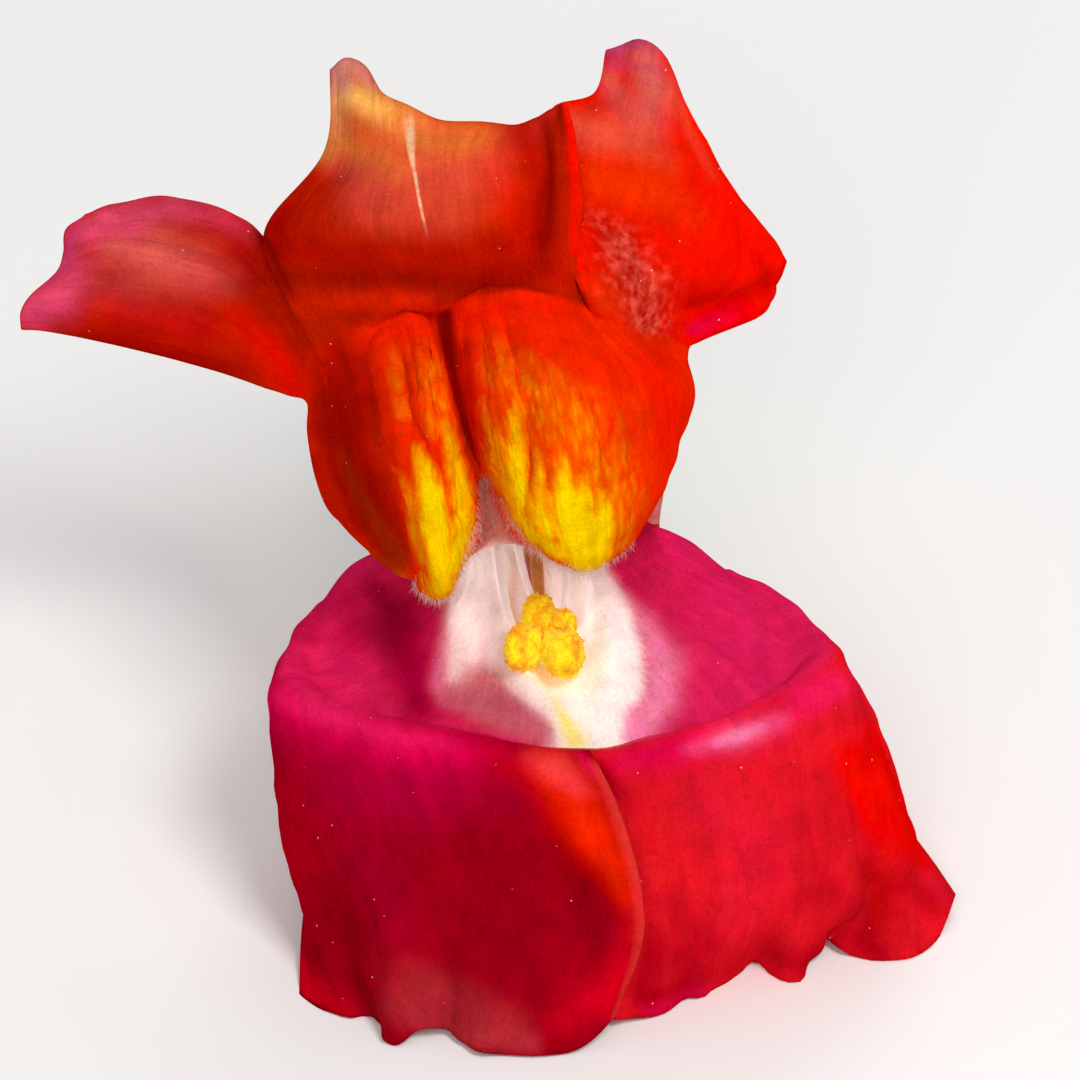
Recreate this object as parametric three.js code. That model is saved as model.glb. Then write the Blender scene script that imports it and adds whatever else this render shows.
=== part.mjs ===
// A single snapdragon bloom, picked with its short stalk, in millimetres with +Z up.
//
// It rests the way a picked bloom settles when it is laid upper lip down: on the hem of the two
// turned-back upper petals in front and on the cut end of its stalk behind. Seen from the front the
// upper lip is the skirt at the bottom, the two-humped palate closes over the throat, and the three
// petals of the lower lip stand above it.
//
// The five petals are one grown piece, the corolla: each petal is a strip that runs from the foot
// of the tube to its own margin, and neighbours share their edges up to the notch between them.
// The calyx is made the same way from its five sepals. Both are sheets thickened to closed shells.
// Petal rails are drawn in the face frame: [across, up the face, back into the face].
import * as THREE from "three";
import { mergeVertices } from "three/addons/utils/BufferGeometryUtils.js";

// ---------------------------------------------------------------- driving dimensions, mm and degrees
const FACE_LEAN = 35; // the face leans back from upright by this much
const PETAL_THICK = 0.6;
const SURFACE_Z = -0.15; // level of the surface under the bloom: what would reach below it lies flat

const TUBE = {
  mouth: [-0.6, 21.2, 14.8], // centre of the mouth ring
  foot: [0.2, 38.4, 8.4], // centre of the foot ring
  // share of the way from mouth to foot, half width, half height, extra height of the pouch on top
  rings: [
    [1.0, 1.9, 1.9, 0],
    [0.95, 3.5, 3.4, 0.4],
    [0.8, 4.5, 4.3, 1.0],
    [0.5, 4.7, 4.4, 0.5],
    [0.2, 5.1, 4.5, 0],
  ],
};
// Angles round the tube where neighbouring petals are joined, seen from the front, degrees.
const SEAMS = { leftCorner: 190, upperMid: 270, rightCorner: 350, lowerRight: 395, lowerLeft: 505 };
// Rows between two rails: the tube is plain and needs fewer.
const ROW_STEPS = { tube: 2, petal: 3 };

// Five sepals round the foot of the tube, fused at the base, on rings like those of the tube.
const CALYX = {
  thick: 0.6,
  firstEdge: 54, // angle of the edge between the last sepal and the first, degrees
  columns: 5,
  rowSteps: 2,
  fused: 1, // number of spans that neighbours share
  // share of the way, half width, half height, extra height on top, half the sepal's angle
  rings: [
    [1.046, 2.3, 2.3, 0, 36],
    [0.98, 4.4, 4.4, 0.45, 36],
    [0.9, 5.3, 5.15, 0.85, 29],
    [0.79, 5.65, 5.5, 1.1, 21],
    [0.69, 5.75, 5.6, 1.1, 13],
    [0.63, 5.95, 5.8, 1.1, 4],
  ],
};

// Round pieces follow a path and have a radius at each share of its length. Paths are in the part's
// own axes, with the origin still at the foot of the face.
const STALK = {
  sides: 12,
  path: [[0.23, 38.96, 8.19], [0.32, 40.9, 7.43], [0.7, 43.4, 5.4], [1.2, 45.2, 2.9], [1.4, 45.8, -0.15]],
  radii: [
    [0, 1.7], [0.05, 1.75], [0.12, 1.5], [0.22, 1.1], [0.36, 0.95], [0.52, 0.88], [0.68, 0.85],
    [0.84, 0.88], [1, 0.95],
  ],
};
const PISTIL = {
  sides: 8,
  path: [
    [0.2, 38.4, 8.4], [0.05, 36.2, 8.75], [-0.05, 34.2, 8.5], [-0.15, 31.0, 8.25], [-0.2, 28.2, 8.75],
    [-0.2, 25.2, 9.9], [0, 22.8, 10.4], [0.2, 20.4, 10.1],
  ],
  radii: [
    [0, 1.2], [0.03, 1.25], [0.08, 1.7], [0.14, 1.75], [0.2, 1.3], [0.25, 0.6], [0.3, 0.36], [0.45, 0.33],
    [0.6, 0.33], [0.75, 0.33], [0.9, 0.33], [0.96, 0.38], [1, 0.34],
  ],
};
const FILAMENT = {
  sides: 7,
  radii: [
    [0, 0.38], [0.15, 0.36], [0.3, 0.35], [0.45, 0.35], [0.6, 0.35], [0.75, 0.35], [0.88, 0.33],
    [1, 0.28],
  ],
};
const FILAMENT_PATHS = {
  long_left: [
    [-2.1, 32.4, 7.7], [-2.3, 28.2, 9.15], [-2.3, 25.2, 10.2], [-2.15, 22.6, 10.65], [-1.95, 19.8, 10.1],
    [-1.8, 17.8, 9.95], [-1.35, 16.1, 9.95],
  ],
  long_right: [
    [1.85, 32.4, 7.75], [1.8, 28.2, 9.05], [1.8, 25.2, 10.35], [1.95, 22.6, 11.0], [2.3, 19.8, 10.1],
    [2.35, 17.7, 9.95], [1.8, 15.95, 9.95],
  ],
  short_left: [
    [-1.05, 33.0, 7.0], [-1.2, 28.3, 8.65], [-1.25, 25.2, 9.85], [-1.05, 22.8, 10.4], [-0.8, 20.8, 10.05],
    [-0.55, 18.8, 10.05],
  ],
  short_right: [
    [0.95, 32.9, 6.95], [0.75, 28.3, 8.6], [0.8, 25.2, 9.85], [1.0, 22.8, 10.6], [1.2, 20.8, 10.05],
    [1.05, 18.75, 10.05],
  ],
};
// Each anther is two pollen sacs side by side: centre, half sizes, turn about the vertical in degrees.
const ANTHERS = {
  long_left: { centre: [-0.8, 14.75, 9.92], half: [0.78, 1.25, 0.8], turn: -14 },
  long_right: { centre: [1.15, 14.55, 9.94], half: [0.8, 1.35, 0.72], turn: 10 },
  short_left: { centre: [-0.42, 17.6, 9.9], half: [0.58, 0.95, 0.75], turn: -6 },
  short_right: { centre: [1.02, 17.5, 9.9], half: [0.58, 0.95, 0.68], turn: 6 },
};
const ANTHER_FURROW = 0.3; // depth of the furrow between the sacs, as a share of their height

// ---------------------------------------------------------------- petal rails, face frame, mm
// Upper lip, from the left mouth corner to the right one; the middle point is on the midline.
const UPPER_LIP = {
  throat: [
    [-6.3, 21.6, 10.2], [-5.4, 20.3, 10.9], [-4.0, 19.3, 11.3], [-2.0, 18.8, 11.5], [0.3, 18.7, 11.4],
    [2.4, 18.9, 11.3], [4.0, 19.8, 10.9], [4.9, 21.0, 10.3], [5.0, 22.2, 9.8],
  ],
  bowl: [
    [-8.2, 20.1, 11.2], [-8.6, 18.1, 8.8], [-7.2, 15.8, 6.6], [-3.6, 14.4, 5.6], [1.2, 14.5, 5.4],
    [5.4, 14.8, 5.4], [8.3, 16.9, 6.8], [7.9, 19.2, 9.2], [6.6, 21.1, 11.2],
  ],
  trough: [
    [-9.2, 18.8, 11.4], [-9.6, 17.4, 8.1], [-9.0, 14.7, 4.7], [-4.8, 12.6, 2.6], [1.6, 11.6, 2.3],
    [6.6, 12.5, 2.9], [10.5, 15.4, 5.6], [9.8, 18.2, 8.9], [7.8, 20.1, 11.4],
  ],
  crest: [
    [-9.9, 17.75, 11.2], [-10.65, 17.0, 7.4], [-10.6, 14.8, 3.6], [-5.6, 13.4, 0.6], [2.05, 12.5, 0.2],
    [7.4, 13.5, 0.9], [12.35, 16.0, 4.6], [11.25, 18.15, 8.6], [8.8, 19.45, 11.4],
  ],
};
// The turned-back part of each upper petal, from its outer margin to the split between the two.
const LEFT_SKIRT = {
  high: [
    [-10.7, 13.0, 9.8], [-11.25, 12.0, 6.0], [-9.8, 10.4, 2.4], [-4.2, 9.6, -0.6], [3.35, 9.9, -0.6],
  ],
  low: [[-10.0, 7.2, 7.4], [-10.1, 6.0, 4.2], [-8.1, 5.2, 1.8], [-3.0, 4.8, -0.5], [4.3, 5.6, -0.6]],
  hem: [
    [-10.05, 2.1, 3.6], [-9.7, 1.8, 3.0], [-8.9, 1.55, 2.4], [-8.0, 1.35, 2.0], [-7.2, 1.45, 1.9],
    [-6.4, 0.9, 1.4], [-5.9, 0.35, 0.8], [-5.2, 0.85, 0.8], [-4.3, 0.95, 0.6], [-3.0, 0.3, 0.3],
    [-1.2, -0.05, 0.0], [1.4, 0.1, 0.1], [3.1, 1.45, 0.5],
  ],
};
const RIGHT_SKIRT = {
  high: [[2.6, 10.1, 0.4], [8.4, 10.4, -0.1], [13.2, 11.8, 2.8], [14.3, 13.6, 7.4], [12.3, 15.2, 12.0]],
  low: [[3.2, 5.6, 0.5], [9.0, 6.1, 1.3], [13.7, 7.1, 3.8], [15.7, 8.1, 7.6], [14.9, 9.9, 11.4]],
  hem: [
    [3.1, 1.3, 1.3], [4.7, 1.45, 2.2], [6.2, 2.15, 3.1], [7.9, 2.6, 4.0], [9.0, 3.3, 4.7],
    [10.3, 2.75, 4.4], [11.4, 3.8, 4.9], [12.1, 4.4, 5.5], [13.0, 3.85, 5.4], [14.2, 3.5, 5.3],
    [15.8, 3.6, 5.4], [17.0, 4.4, 6.4], [17.75, 5.9, 8.2],
  ],
};
// Lower lip, from the right mouth corner to the left one: cheek, hump, groove, hump, cheek.
const LOWER_LIP = {
  throat: [
    [5.0, 22.2, 9.8], [5.0, 24.6, 8.8], [2.8, 27.0, 7.2], [-0.6, 27.8, 6.6], [-3.8, 27.0, 7.2],
    [-6.0, 24.6, 8.8], [-6.3, 21.6, 10.2],
  ],
  underside: [
    [4.6, 22.6, 9.2], [4.4, 22.7, 7.4], [2.0, 22.0, 6.0], [-1.4, 21.6, 6.2], [-4.0, 21.4, 6.0],
    [-6.5, 22.0, 7.4], [-7.5, 21.9, 8.9],
  ],
  edge: [
    [4.75, 23.3, 8.4], [4.3, 22.5, 6.6], [4.05, 21.7, 4.8], [3.1, 20.8, 3.4], [1.75, 20.2, 2.6],
    [0.0, 21.25, 2.4], [-2.3, 24.0, 3.2], [-3.0, 22.0, 2.6], [-4.05, 19.15, 2.3], [-5.4, 19.7, 3.3],
    [-6.9, 20.75, 4.9], [-8.0, 21.7, 6.4], [-8.8, 22.6, 7.8],
  ],
  humpLow: [
    [5.5, 25.0, 7.6], [5.5, 24.6, 5.4], [4.9, 24.0, 3.2], [3.3, 23.2, 1.1], [1.2, 22.7, 0.0],
    [-0.9, 23.4, 0.3], [-2.6, 25.3, 2.2], [-3.4, 23.2, 0.7], [-4.5, 21.7, 0.1], [-6.2, 22.4, 1.8],
    [-7.9, 23.4, 4.2], [-8.8, 23.8, 5.7], [-9.45, 24.1, 7.0],
  ],
  humpHigh: [
    [6.45, 27.4, 7.0], [6.0, 27.6, 4.8], [4.9, 27.6, 2.6], [2.8, 27.3, 0.4], [0.5, 27.1, -0.7],
    [-1.7, 27.5, -0.1], [-3.2, 28.0, 1.8], [-4.0, 27.1, 0.2], [-5.0, 26.5, -0.3], [-6.8, 26.5, 1.7],
    [-8.6, 26.6, 4.2], [-9.2, 26.3, 5.6], [-9.8, 26.0, 6.8],
  ],
  crease: [
    [6.2, 29.2, 7.0], [2.7, 30.4, 3.4], [-0.5, 31.2, 1.6], [-3.8, 30.8, 2.4], [-5.7, 30.3, 1.8],
    [-9.1, 28.8, 5.0], [-9.85, 27.3, 7.0],
  ],
};
// Free parts of the three lower petals, right to left.
const RIGHT_WING = [
  [[6.8, 30.0, 8.2], [4.4, 31.7, 4.6], [1.5, 32.8, 1.8]],
  [[9.3, 31.0, 8.8], [5.4, 34.7, 5.8], [0.6, 36.9, 5.6]],
  [[10.0, 31.7, 8.7], [6.2, 36.9, 7.0], [0.45, 39.75, 7.4]],
  [[10.2, 32.45, 8.6], [7.9, 36.4, 7.6], [6.0, 38.6, 7.6], [4.2, 40.3, 7.7], [2.3, 40.55, 7.8]],
  [
    [10.6, 33.4, 8.4], [9.7, 34.85, 8.2], [7.6, 37.4, 8.0], [6.2, 40.3, 8.0], [5.3, 42.25, 8.2],
    [4.2, 42.95, 8.4], [2.85, 42.45, 8.4],
  ],
];
const MIDDLE_PETAL = [
  [[1.5, 32.8, 1.8], [-0.8, 32.9, 0.2], [-3.8, 32.7, 0.0], [-7.0, 32.3, 0.4], [-10.6, 31.6, 3.4]],
  [[1.55, 35.4, 0.6], [-1.0, 35.1, -0.8], [-4.3, 34.9, -1.2], [-7.8, 34.6, -0.8], [-11.5, 34.3, 2.6]],
  [[1.45, 37.7, 0.4], [-1.2, 37.2, 0.0], [-4.4, 37.3, -0.2], [-7.0, 37.6, 0.2], [-9.0, 37.6, 1.4]],
  [
    [1.3, 39.4, 0.5], [0.75, 39.65, 0.8], [-0.15, 39.2, 1.2], [-1.2, 38.75, 1.6], [-2.7, 38.8, 1.7],
    [-4.2, 39.15, 1.6], [-5.5, 39.5, 1.6], [-6.75, 40.1, 1.6], [-7.4, 41.15, 1.4], [-8.1, 41.55, 1.2],
    [-8.8, 41.1, 1.2],
  ],
];
const LEFT_WING = [
  [[-10.2, 31.6, 5.6], [-10.6, 29.6, 6.8], [-10.9, 27.7, 7.8]],
  [[-12.4, 34.85, 4.8], [-12.8, 32.0, 6.4], [-13.6, 28.7, 8.2]],
  [[-15.6, 36.0, 4.0], [-16.4, 33.0, 5.6], [-17.8, 29.8, 7.8]],
  [[-17.95, 35.65, 4.2], [-18.9, 33.2, 5.2], [-20.6, 30.35, 7.0]],
  [
    [-19.3, 35.25, 4.7], [-20.15, 34.6, 4.9], [-20.25, 33.6, 5.1], [-20.6, 32.75, 5.4],
    [-21.65, 31.9, 5.8], [-22.15, 31.15, 6.1], [-22.15, 30.4, 6.4],
  ],
];

// ---------------------------------------------------------------- small helpers
const lean = THREE.MathUtils.degToRad(FACE_LEAN);
const vec = (p) => new THREE.Vector3(...p);

// A face-frame point in the part's own frame.
function fromFace([across, up, back]) {
  return new THREE.Vector3(
    across,
    back * Math.cos(lean) + up * Math.sin(lean),
    up * Math.cos(lean) - back * Math.sin(lean),
  );
}

// Points at equal steps of a smooth curve's own parameter, between two shares of it.
function sampleCurve(points, count, from = 0, to = 1) {
  const curve = new THREE.CatmullRomCurve3(points, false, "catmullrom", 0.5);
  return Array.from({ length: count + 1 }, (_, i) => curve.getPoint(from + ((to - from) * i) / count));
}

// Part of a ring round the tube's axis, between two angles, as a rail.
const tubeMouth = vec(TUBE.mouth);
const tubeFoot = vec(TUBE.foot);
const tubeAxis = tubeFoot.clone().sub(tubeMouth).normalize();
const tubeSide = tubeAxis.clone().cross(new THREE.Vector3(0, 0, 1)).normalize();
const tubeUp = tubeSide.clone().cross(tubeAxis);
function ringRail([share, halfWidth, halfHeight, pouch], fromDeg, toDeg) {
  const centre = tubeMouth.clone().lerp(tubeFoot, share);
  const steps = 6;
  return Array.from({ length: steps + 1 }, (_, i) => {
    const angle = THREE.MathUtils.degToRad(fromDeg + ((toDeg - fromDeg) * i) / steps);
    const height = halfHeight + pouch * Math.max(0, Math.sin(angle)) ** 2;
    return centre
      .clone()
      .addScaledVector(tubeSide, halfWidth * Math.cos(angle))
      .addScaledVector(tubeUp, height * Math.sin(angle));
  });
}

// ---------------------------------------------------------------- sheets grown from strips
// A strip is a grid of points: columns across it, rows from its foot to its margin.
function stripGrid({ rails, columns, steps }) {
  const sampled = rails.map(({ points, from = 0, to = 1 }) => sampleCurve(points, columns, from, to));
  const spans = rails.length - 1;
  return Array.from({ length: columns + 1 }, (_, c) => {
    const points = sampled.map((rail) => rail[c]);
    const curve = new THREE.CatmullRomCurve3(points, false, "catmullrom", 0.5);
    const column = steps.flatMap((count, span) =>
      Array.from({ length: count }, (_, k) => curve.getPoint((span + k / count) / spans)),
    );
    column.push(curve.getPoint(1));
    return column;
  });
}

// Joins a closed round of strips: each shares its first `shared` spans with the next one.
function joinStrips(strips) {
  const vertices = [];
  const quads = [];
  const ids = [];
  const sharedRows = strips.map(({ steps, shared }) => steps.slice(0, shared).reduce((a, b) => a + b, 0));
  const last = strips.length - 1;
  strips.forEach((strip, k) => {
    ids[k] = stripGrid(strip).map((column, c) =>
      column.map((point, r) => {
        if (k > 0 && c === 0 && r <= sharedRows[k - 1]) return ids[k - 1].at(-1)[r];
        if (k === last && c === strip.columns && r <= sharedRows[last]) return ids[0][0][r];
        return vertices.push(point) - 1;
      }),
    );
  });
  for (const grid of ids)
    for (let c = 0; c + 1 < grid.length; c++)
      for (let r = 0; r + 1 < grid[c].length; r++)
        quads.push([grid[c][r], grid[c + 1][r], grid[c + 1][r + 1], grid[c][r + 1]]);
  return { vertices, quads };
}

// Thickens an open sheet of quads into one closed shell.
function thicken({ vertices, quads }, thick) {
  const normals = vertices.map(() => new THREE.Vector3());
  for (const [a, b, c, d] of quads) {
    const across = vertices[c].clone().sub(vertices[a]);
    const along = vertices[d].clone().sub(vertices[b]);
    const normal = across.cross(along);
    for (const i of [a, b, c, d]) normals[i].add(normal);
  }
  normals.forEach((normal) => normal.normalize());
  const positions = [0.5, -0.5].flatMap((side) =>
    vertices.flatMap((v, i) => v.clone().addScaledVector(normals[i], side * thick).toArray()),
  );
  const count = vertices.length;
  const index = [];
  const rim = new Map();
  for (const [a, b, c, d] of quads) {
    index.push(a, b, c, a, c, d);
    index.push(count + a, count + c, count + b, count + a, count + d, count + c);
    for (const [p, q] of [[a, b], [b, c], [c, d], [d, a]])
      if (!rim.delete(q + "_" + p)) rim.set(p + "_" + q, [p, q]);
  }
  for (const [p, q] of rim.values()) index.push(q, p, count + p, q, count + p, count + q);
  return indexed(positions, index);
}

function indexed(positions, index) {
  const geometry = new THREE.BufferGeometry();
  geometry.setAttribute("position", new THREE.Float32BufferAttribute(positions, 3));
  geometry.setIndex(index);
  return geometry;
}

function corollaGeometry() {
  const faceRails = (rails, from, to) =>
    Object.values(rails).map((points) => ({ points: points.map(fromFace), from, to }));
  const petal = (fromDeg, toDeg, lip, free, columns, sharedRails) => {
    const tube = TUBE.rings.map((ring) => ({ points: ringRail(ring, fromDeg, toDeg) }));
    const rails = [...tube, ...lip, ...faceRails(free)];
    const steps = rails.slice(1).map((_, i) => (i < tube.length ? ROW_STEPS.tube : ROW_STEPS.petal));
    return { rails, steps, columns, shared: tube.length + sharedRails };
  };
  // Neighbours part at the skirt's split, at the mouth corners and at the crease above the palate.
  return thicken(
    joinStrips([
      petal(SEAMS.leftCorner, SEAMS.upperMid, faceRails(UPPER_LIP, 0, 0.5), LEFT_SKIRT, 12, 3),
      petal(SEAMS.upperMid, SEAMS.rightCorner, faceRails(UPPER_LIP, 0.5, 1), RIGHT_SKIRT, 12, 0),
      petal(SEAMS.rightCorner, SEAMS.lowerRight, faceRails(LOWER_LIP, 0, 1 / 6), RIGHT_WING, 6, 6),
      petal(SEAMS.lowerRight, SEAMS.lowerLeft, faceRails(LOWER_LIP, 1 / 6, 5 / 6), MIDDLE_PETAL, 24, 5),
      petal(SEAMS.lowerLeft, SEAMS.leftCorner + 360, faceRails(LOWER_LIP, 5 / 6, 1), LEFT_WING, 6, 0),
    ]),
    PETAL_THICK,
  );
}

function calyxGeometry() {
  const spread = 360 / 5;
  const sepals = Array.from({ length: 5 }, (_, k) => {
    const middle = CALYX.firstEdge + spread * (k + 0.5);
    const rails = CALYX.rings.map(([share, width, height, pouch, half]) => ({
      points: ringRail([share, width, height, pouch], middle - half, middle + half),
    }));
    const steps = rails.slice(1).map(() => CALYX.rowSteps);
    return { rails, steps, columns: CALYX.columns, shared: CALYX.fused };
  });
  return thicken(joinStrips(sepals), CALYX.thick);
}

// ---------------------------------------------------------------- round pieces
// A closed rod along a smooth path, with one ring of points at each listed share of its length.
function rod({ path, radii, sides }) {
  const curve = new THREE.CatmullRomCurve3(path.map(vec), false, "centripetal");
  const positions = [];
  const index = [];
  const across = new THREE.Vector3(1, 0, 0);
  radii.forEach(([share, radius]) => {
    const centre = curve.getPointAt(share);
    const tangent = curve.getTangentAt(share);
    across.addScaledVector(tangent, -across.dot(tangent)).normalize();
    const other = tangent.clone().cross(across);
    for (let i = 0; i < sides; i++) {
      const angle = (2 * Math.PI * i) / sides;
      const point = centre.clone().addScaledVector(across, radius * Math.cos(angle));
      positions.push(...point.addScaledVector(other, radius * Math.sin(angle)).toArray());
    }
  });
  const rings = radii.length;
  for (let r = 0; r + 1 < rings; r++)
    for (let i = 0; i < sides; i++) {
      const [a, b] = [r * sides + i, r * sides + ((i + 1) % sides)];
      index.push(a, b, b + sides, a, b + sides, a + sides);
    }
  const end = (rings - 1) * sides;
  for (let i = 1; i + 1 < sides; i++) index.push(0, i + 1, i, end, end + i, end + i + 1);
  return indexed(positions, index);
}

// Two pollen sacs side by side: a rounded body with a furrow along its length.
function anther({ centre, half, turn }) {
  const ball = new THREE.SphereGeometry(1, 14, 8);
  ball.deleteAttribute("uv");
  ball.deleteAttribute("normal");
  const body = mergeVertices(ball, 1e-4);
  const position = body.attributes.position;
  for (let i = 0; i < position.count; i++) {
    const across = position.getX(i);
    const furrow = 1 - ANTHER_FURROW * Math.exp(-((across / 0.3) ** 2));
    position.setZ(i, position.getZ(i) * furrow);
  }
  body.scale(...half);
  body.rotateZ(THREE.MathUtils.degToRad(turn));
  body.translate(...centre);
  return body;
}

// ---------------------------------------------------------------- assembly
const bloom = new THREE.Group();
function place(name, geometry, color, roughness) {
  const position = geometry.attributes.position;
  for (let i = 0; i < position.count; i++) position.setZ(i, Math.max(position.getZ(i), SURFACE_Z));
  geometry.computeVertexNormals();
  const mesh = new THREE.Mesh(geometry, new THREE.MeshStandardMaterial({ color, roughness, metalness: 0 }));
  mesh.name = name;
  bloom.add(mesh);
}

place("corolla", corollaGeometry(), 0xc8102e, 0.55);
place("calyx", calyxGeometry(), 0x6f9a44, 0.6);
place("stalk", rod(STALK), 0x7ea04e, 0.6);
place("pistil", rod(PISTIL), 0xc9d69a, 0.6);
for (const [name, path] of Object.entries(FILAMENT_PATHS))
  place("filament_" + name, rod({ ...FILAMENT, path }), 0xf2e9e2, 0.6);
for (const [name, sacs] of Object.entries(ANTHERS)) place("anther_" + name, anther(sacs), 0xf2b90c, 0.8);

// The origin is the middle of the bounding box's bottom.
const box = new THREE.Box3().setFromObject(bloom);
const middle = box.getCenter(new THREE.Vector3());
for (const mesh of bloom.children) mesh.geometry.translate(-middle.x, -middle.y, -box.min.z);

export default bloom;
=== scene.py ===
import math

import bpy
import numpy as np
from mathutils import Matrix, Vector


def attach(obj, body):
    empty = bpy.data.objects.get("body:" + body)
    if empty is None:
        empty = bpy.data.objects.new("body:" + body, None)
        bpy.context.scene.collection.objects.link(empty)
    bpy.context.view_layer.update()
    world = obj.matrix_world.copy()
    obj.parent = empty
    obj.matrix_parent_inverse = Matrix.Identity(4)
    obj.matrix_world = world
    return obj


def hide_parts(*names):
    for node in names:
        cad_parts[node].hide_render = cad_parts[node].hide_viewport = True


# A single snapdragon bloom lying upper lip down. The CAD solids carry its shape; here each one gets
# its fine shape, its skin and its hairs. Lengths are millimetres, except where a note says metres.
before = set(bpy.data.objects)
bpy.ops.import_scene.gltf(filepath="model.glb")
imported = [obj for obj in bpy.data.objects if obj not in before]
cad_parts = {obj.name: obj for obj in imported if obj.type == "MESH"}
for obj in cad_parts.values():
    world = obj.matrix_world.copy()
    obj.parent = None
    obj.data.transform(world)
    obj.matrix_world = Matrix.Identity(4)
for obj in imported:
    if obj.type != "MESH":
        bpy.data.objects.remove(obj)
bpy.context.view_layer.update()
bpy.ops.object.select_all(action="DESELECT")
rng = np.random.default_rng(7)
mm = 0.001
tiny = 1e-6
floorGap = 0.00002  # metres, as the next
mergeDistance = 0.000002
print("frame loaded:", sorted(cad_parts))

# The face leans back, and the part's origin is the middle of its box's bottom.
lean = math.radians(35)
sine, cosine = math.sin(lean), math.cos(lean)
faceTurn = np.array([[1, 0, 0], [0, sine, cosine], [0, cosine, -sine]])
originShift = np.array([2.1941, -23.2132, 0.15])
viewDistance = 260.0  # from the camera to the plane of the face
faceMiddle = 21.4  # height up the face that the camera looks at


def turned(points):  # from [across, up the face, back] to the part's own axes, and just so the other way
    return np.asarray(points, float) @ faceTurn


def inPart(points):  # to metres from the part's origin
    return (points + originShift) * mm


def asSeen(points):  # where a point falls on the plane of the face, from the front
    f = turned(points)
    k = viewDistance / (viewDistance + f[..., 2])
    return f[..., 0] * k, faceMiddle + (f[..., 1] - faceMiddle) * k


def unit(vectors):
    return vectors / np.maximum(np.linalg.norm(vectors, axis=-1, keepdims=True), 1e-9)


def runLength(points):
    return np.concatenate([[0], np.cumsum(np.linalg.norm(np.diff(points, axis=0), axis=1))])


def smoothStep(low, high, x):
    t = np.clip((np.asarray(x, float) - low) / (high - low), 0, 1)
    return t * t * (3 - 2 * t)


def window(x, low, full, fade, end):  # rises from low to full and falls from fade to end
    return smoothStep(low, full, x) * (1 - smoothStep(fade, end, x))


def softWindow(x, low, high, soft):
    return window(x, low - soft, low + soft, high - soft, high + soft)


def alongCurve(points, shares):  # a smooth curve through the points, at shares of its parameter
    p = np.asarray(points, float)
    p = np.concatenate([[2 * p[0] - p[1]], p, [2 * p[-1] - p[-2]]])
    spans = len(p) - 3
    t = np.clip(np.asarray(shares, float), 0, 1) * spans
    i = np.minimum(t.astype(int), spans - 1)
    t = (t - i).reshape((-1,) + (1,) * (p.ndim - 1))
    a, b, c, d = p[i], p[i + 1], p[i + 2], p[i + 3]
    return (
        (2 * t**3 - 3 * t**2 + 1) * b
        + (t**3 - 2 * t**2 + t) * (c - a) / 2
        + (3 * t**2 - 2 * t**3) * c
        + (t**3 - t**2) * (d - b) / 2
    )


def softNoise(x, y, scale, seed):  # smooth waves of many directions, about -1 to 1
    waves = np.random.default_rng(seed)
    total = np.zeros_like(np.asarray(x, float))
    for _ in range(7):
        turn = waves.uniform(0, 2 * math.pi)
        pitch = 2 * math.pi / (scale * waves.uniform(0.7, 1.5))
        total += np.sin((x * math.cos(turn) + y * math.sin(turn)) * pitch + waves.uniform(0, 6.28))
    return total / 3.2


# Camera, light and floor. Power is in watts, near and far in metres.
camera = {"face": (0, faceMiddle, -viewDistance), "lens": 208, "film": 36, "near": 0.01, "far": 5}
lights = {
    "key": {"at": (120, -170, 290), "size": 120, "power": 0.55, "tint": (1.0, 0.98, 0.95)},
    "front": {"at": (-50, -270, 190), "size": 130, "power": 0.2, "tint": (1.0, 1.0, 1.0)},
    "back": {"at": (30, 240, 210), "size": 160, "power": 0.2, "tint": (1.0, 1.0, 1.0)},
}
room = {"lightsAimAt": (0, 0, 14), "glow": 0.4, "floor": 0.97, "floorRoughness": 0.9, "floorSize": 4000}


def makeStudio():
    scene = bpy.context.scene
    scene.view_settings.view_transform = "Standard"
    scene.world = bpy.data.worlds.new("paleRoom")
    scene.world.use_nodes = True
    sky = scene.world.node_tree.nodes["Background"].inputs
    sky["Color"].default_value = (1, 1, 1, 1)
    sky["Strength"].default_value = room["glow"]

    place = inPart(turned(camera["face"]))
    bpy.ops.object.camera_add(location=place, rotation=(math.pi / 2 - lean, 0, 0))
    scene.camera = bpy.context.object
    view = scene.camera.data
    view.lens, view.sensor_width = camera["lens"], camera["film"]
    view.clip_start, view.clip_end = camera["near"], camera["far"]

    for name, lamp in lights.items():
        spot = Vector(lamp["at"]) * mm
        aim = Vector(room["lightsAimAt"]) * mm - spot
        facing = aim.to_track_quat("-Z", "Y").to_euler()
        bpy.ops.object.light_add(type="AREA", location=spot, rotation=facing)
        light = bpy.context.object
        light.name = name + "Light"
        light.data.size = lamp["size"] * mm
        light.data.energy = lamp["power"]
        light.data.color = lamp["tint"]

    bpy.ops.mesh.primitive_plane_add(size=room["floorSize"] * mm)
    floor = bpy.context.object
    floor.name = "paleFloor"
    material, n = newMaterial("paleFloor")
    n.feed(n.skin, {"Base Color": (*[room["floor"]] * 3, 1), "Roughness": room["floorRoughness"]})
    floor.data.materials.append(material)
    print("studio ready")


def linear(colour):  # a hex colour as linear light
    c = np.array([int(colour[i : i + 2], 16) for i in (1, 3, 5)]) / 255
    return np.where(c <= 0.04045, c / 12.92, ((c + 0.055) / 1.055) ** 2.4)


def rgba(colour):
    return (*linear(colour), 1.0)


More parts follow.
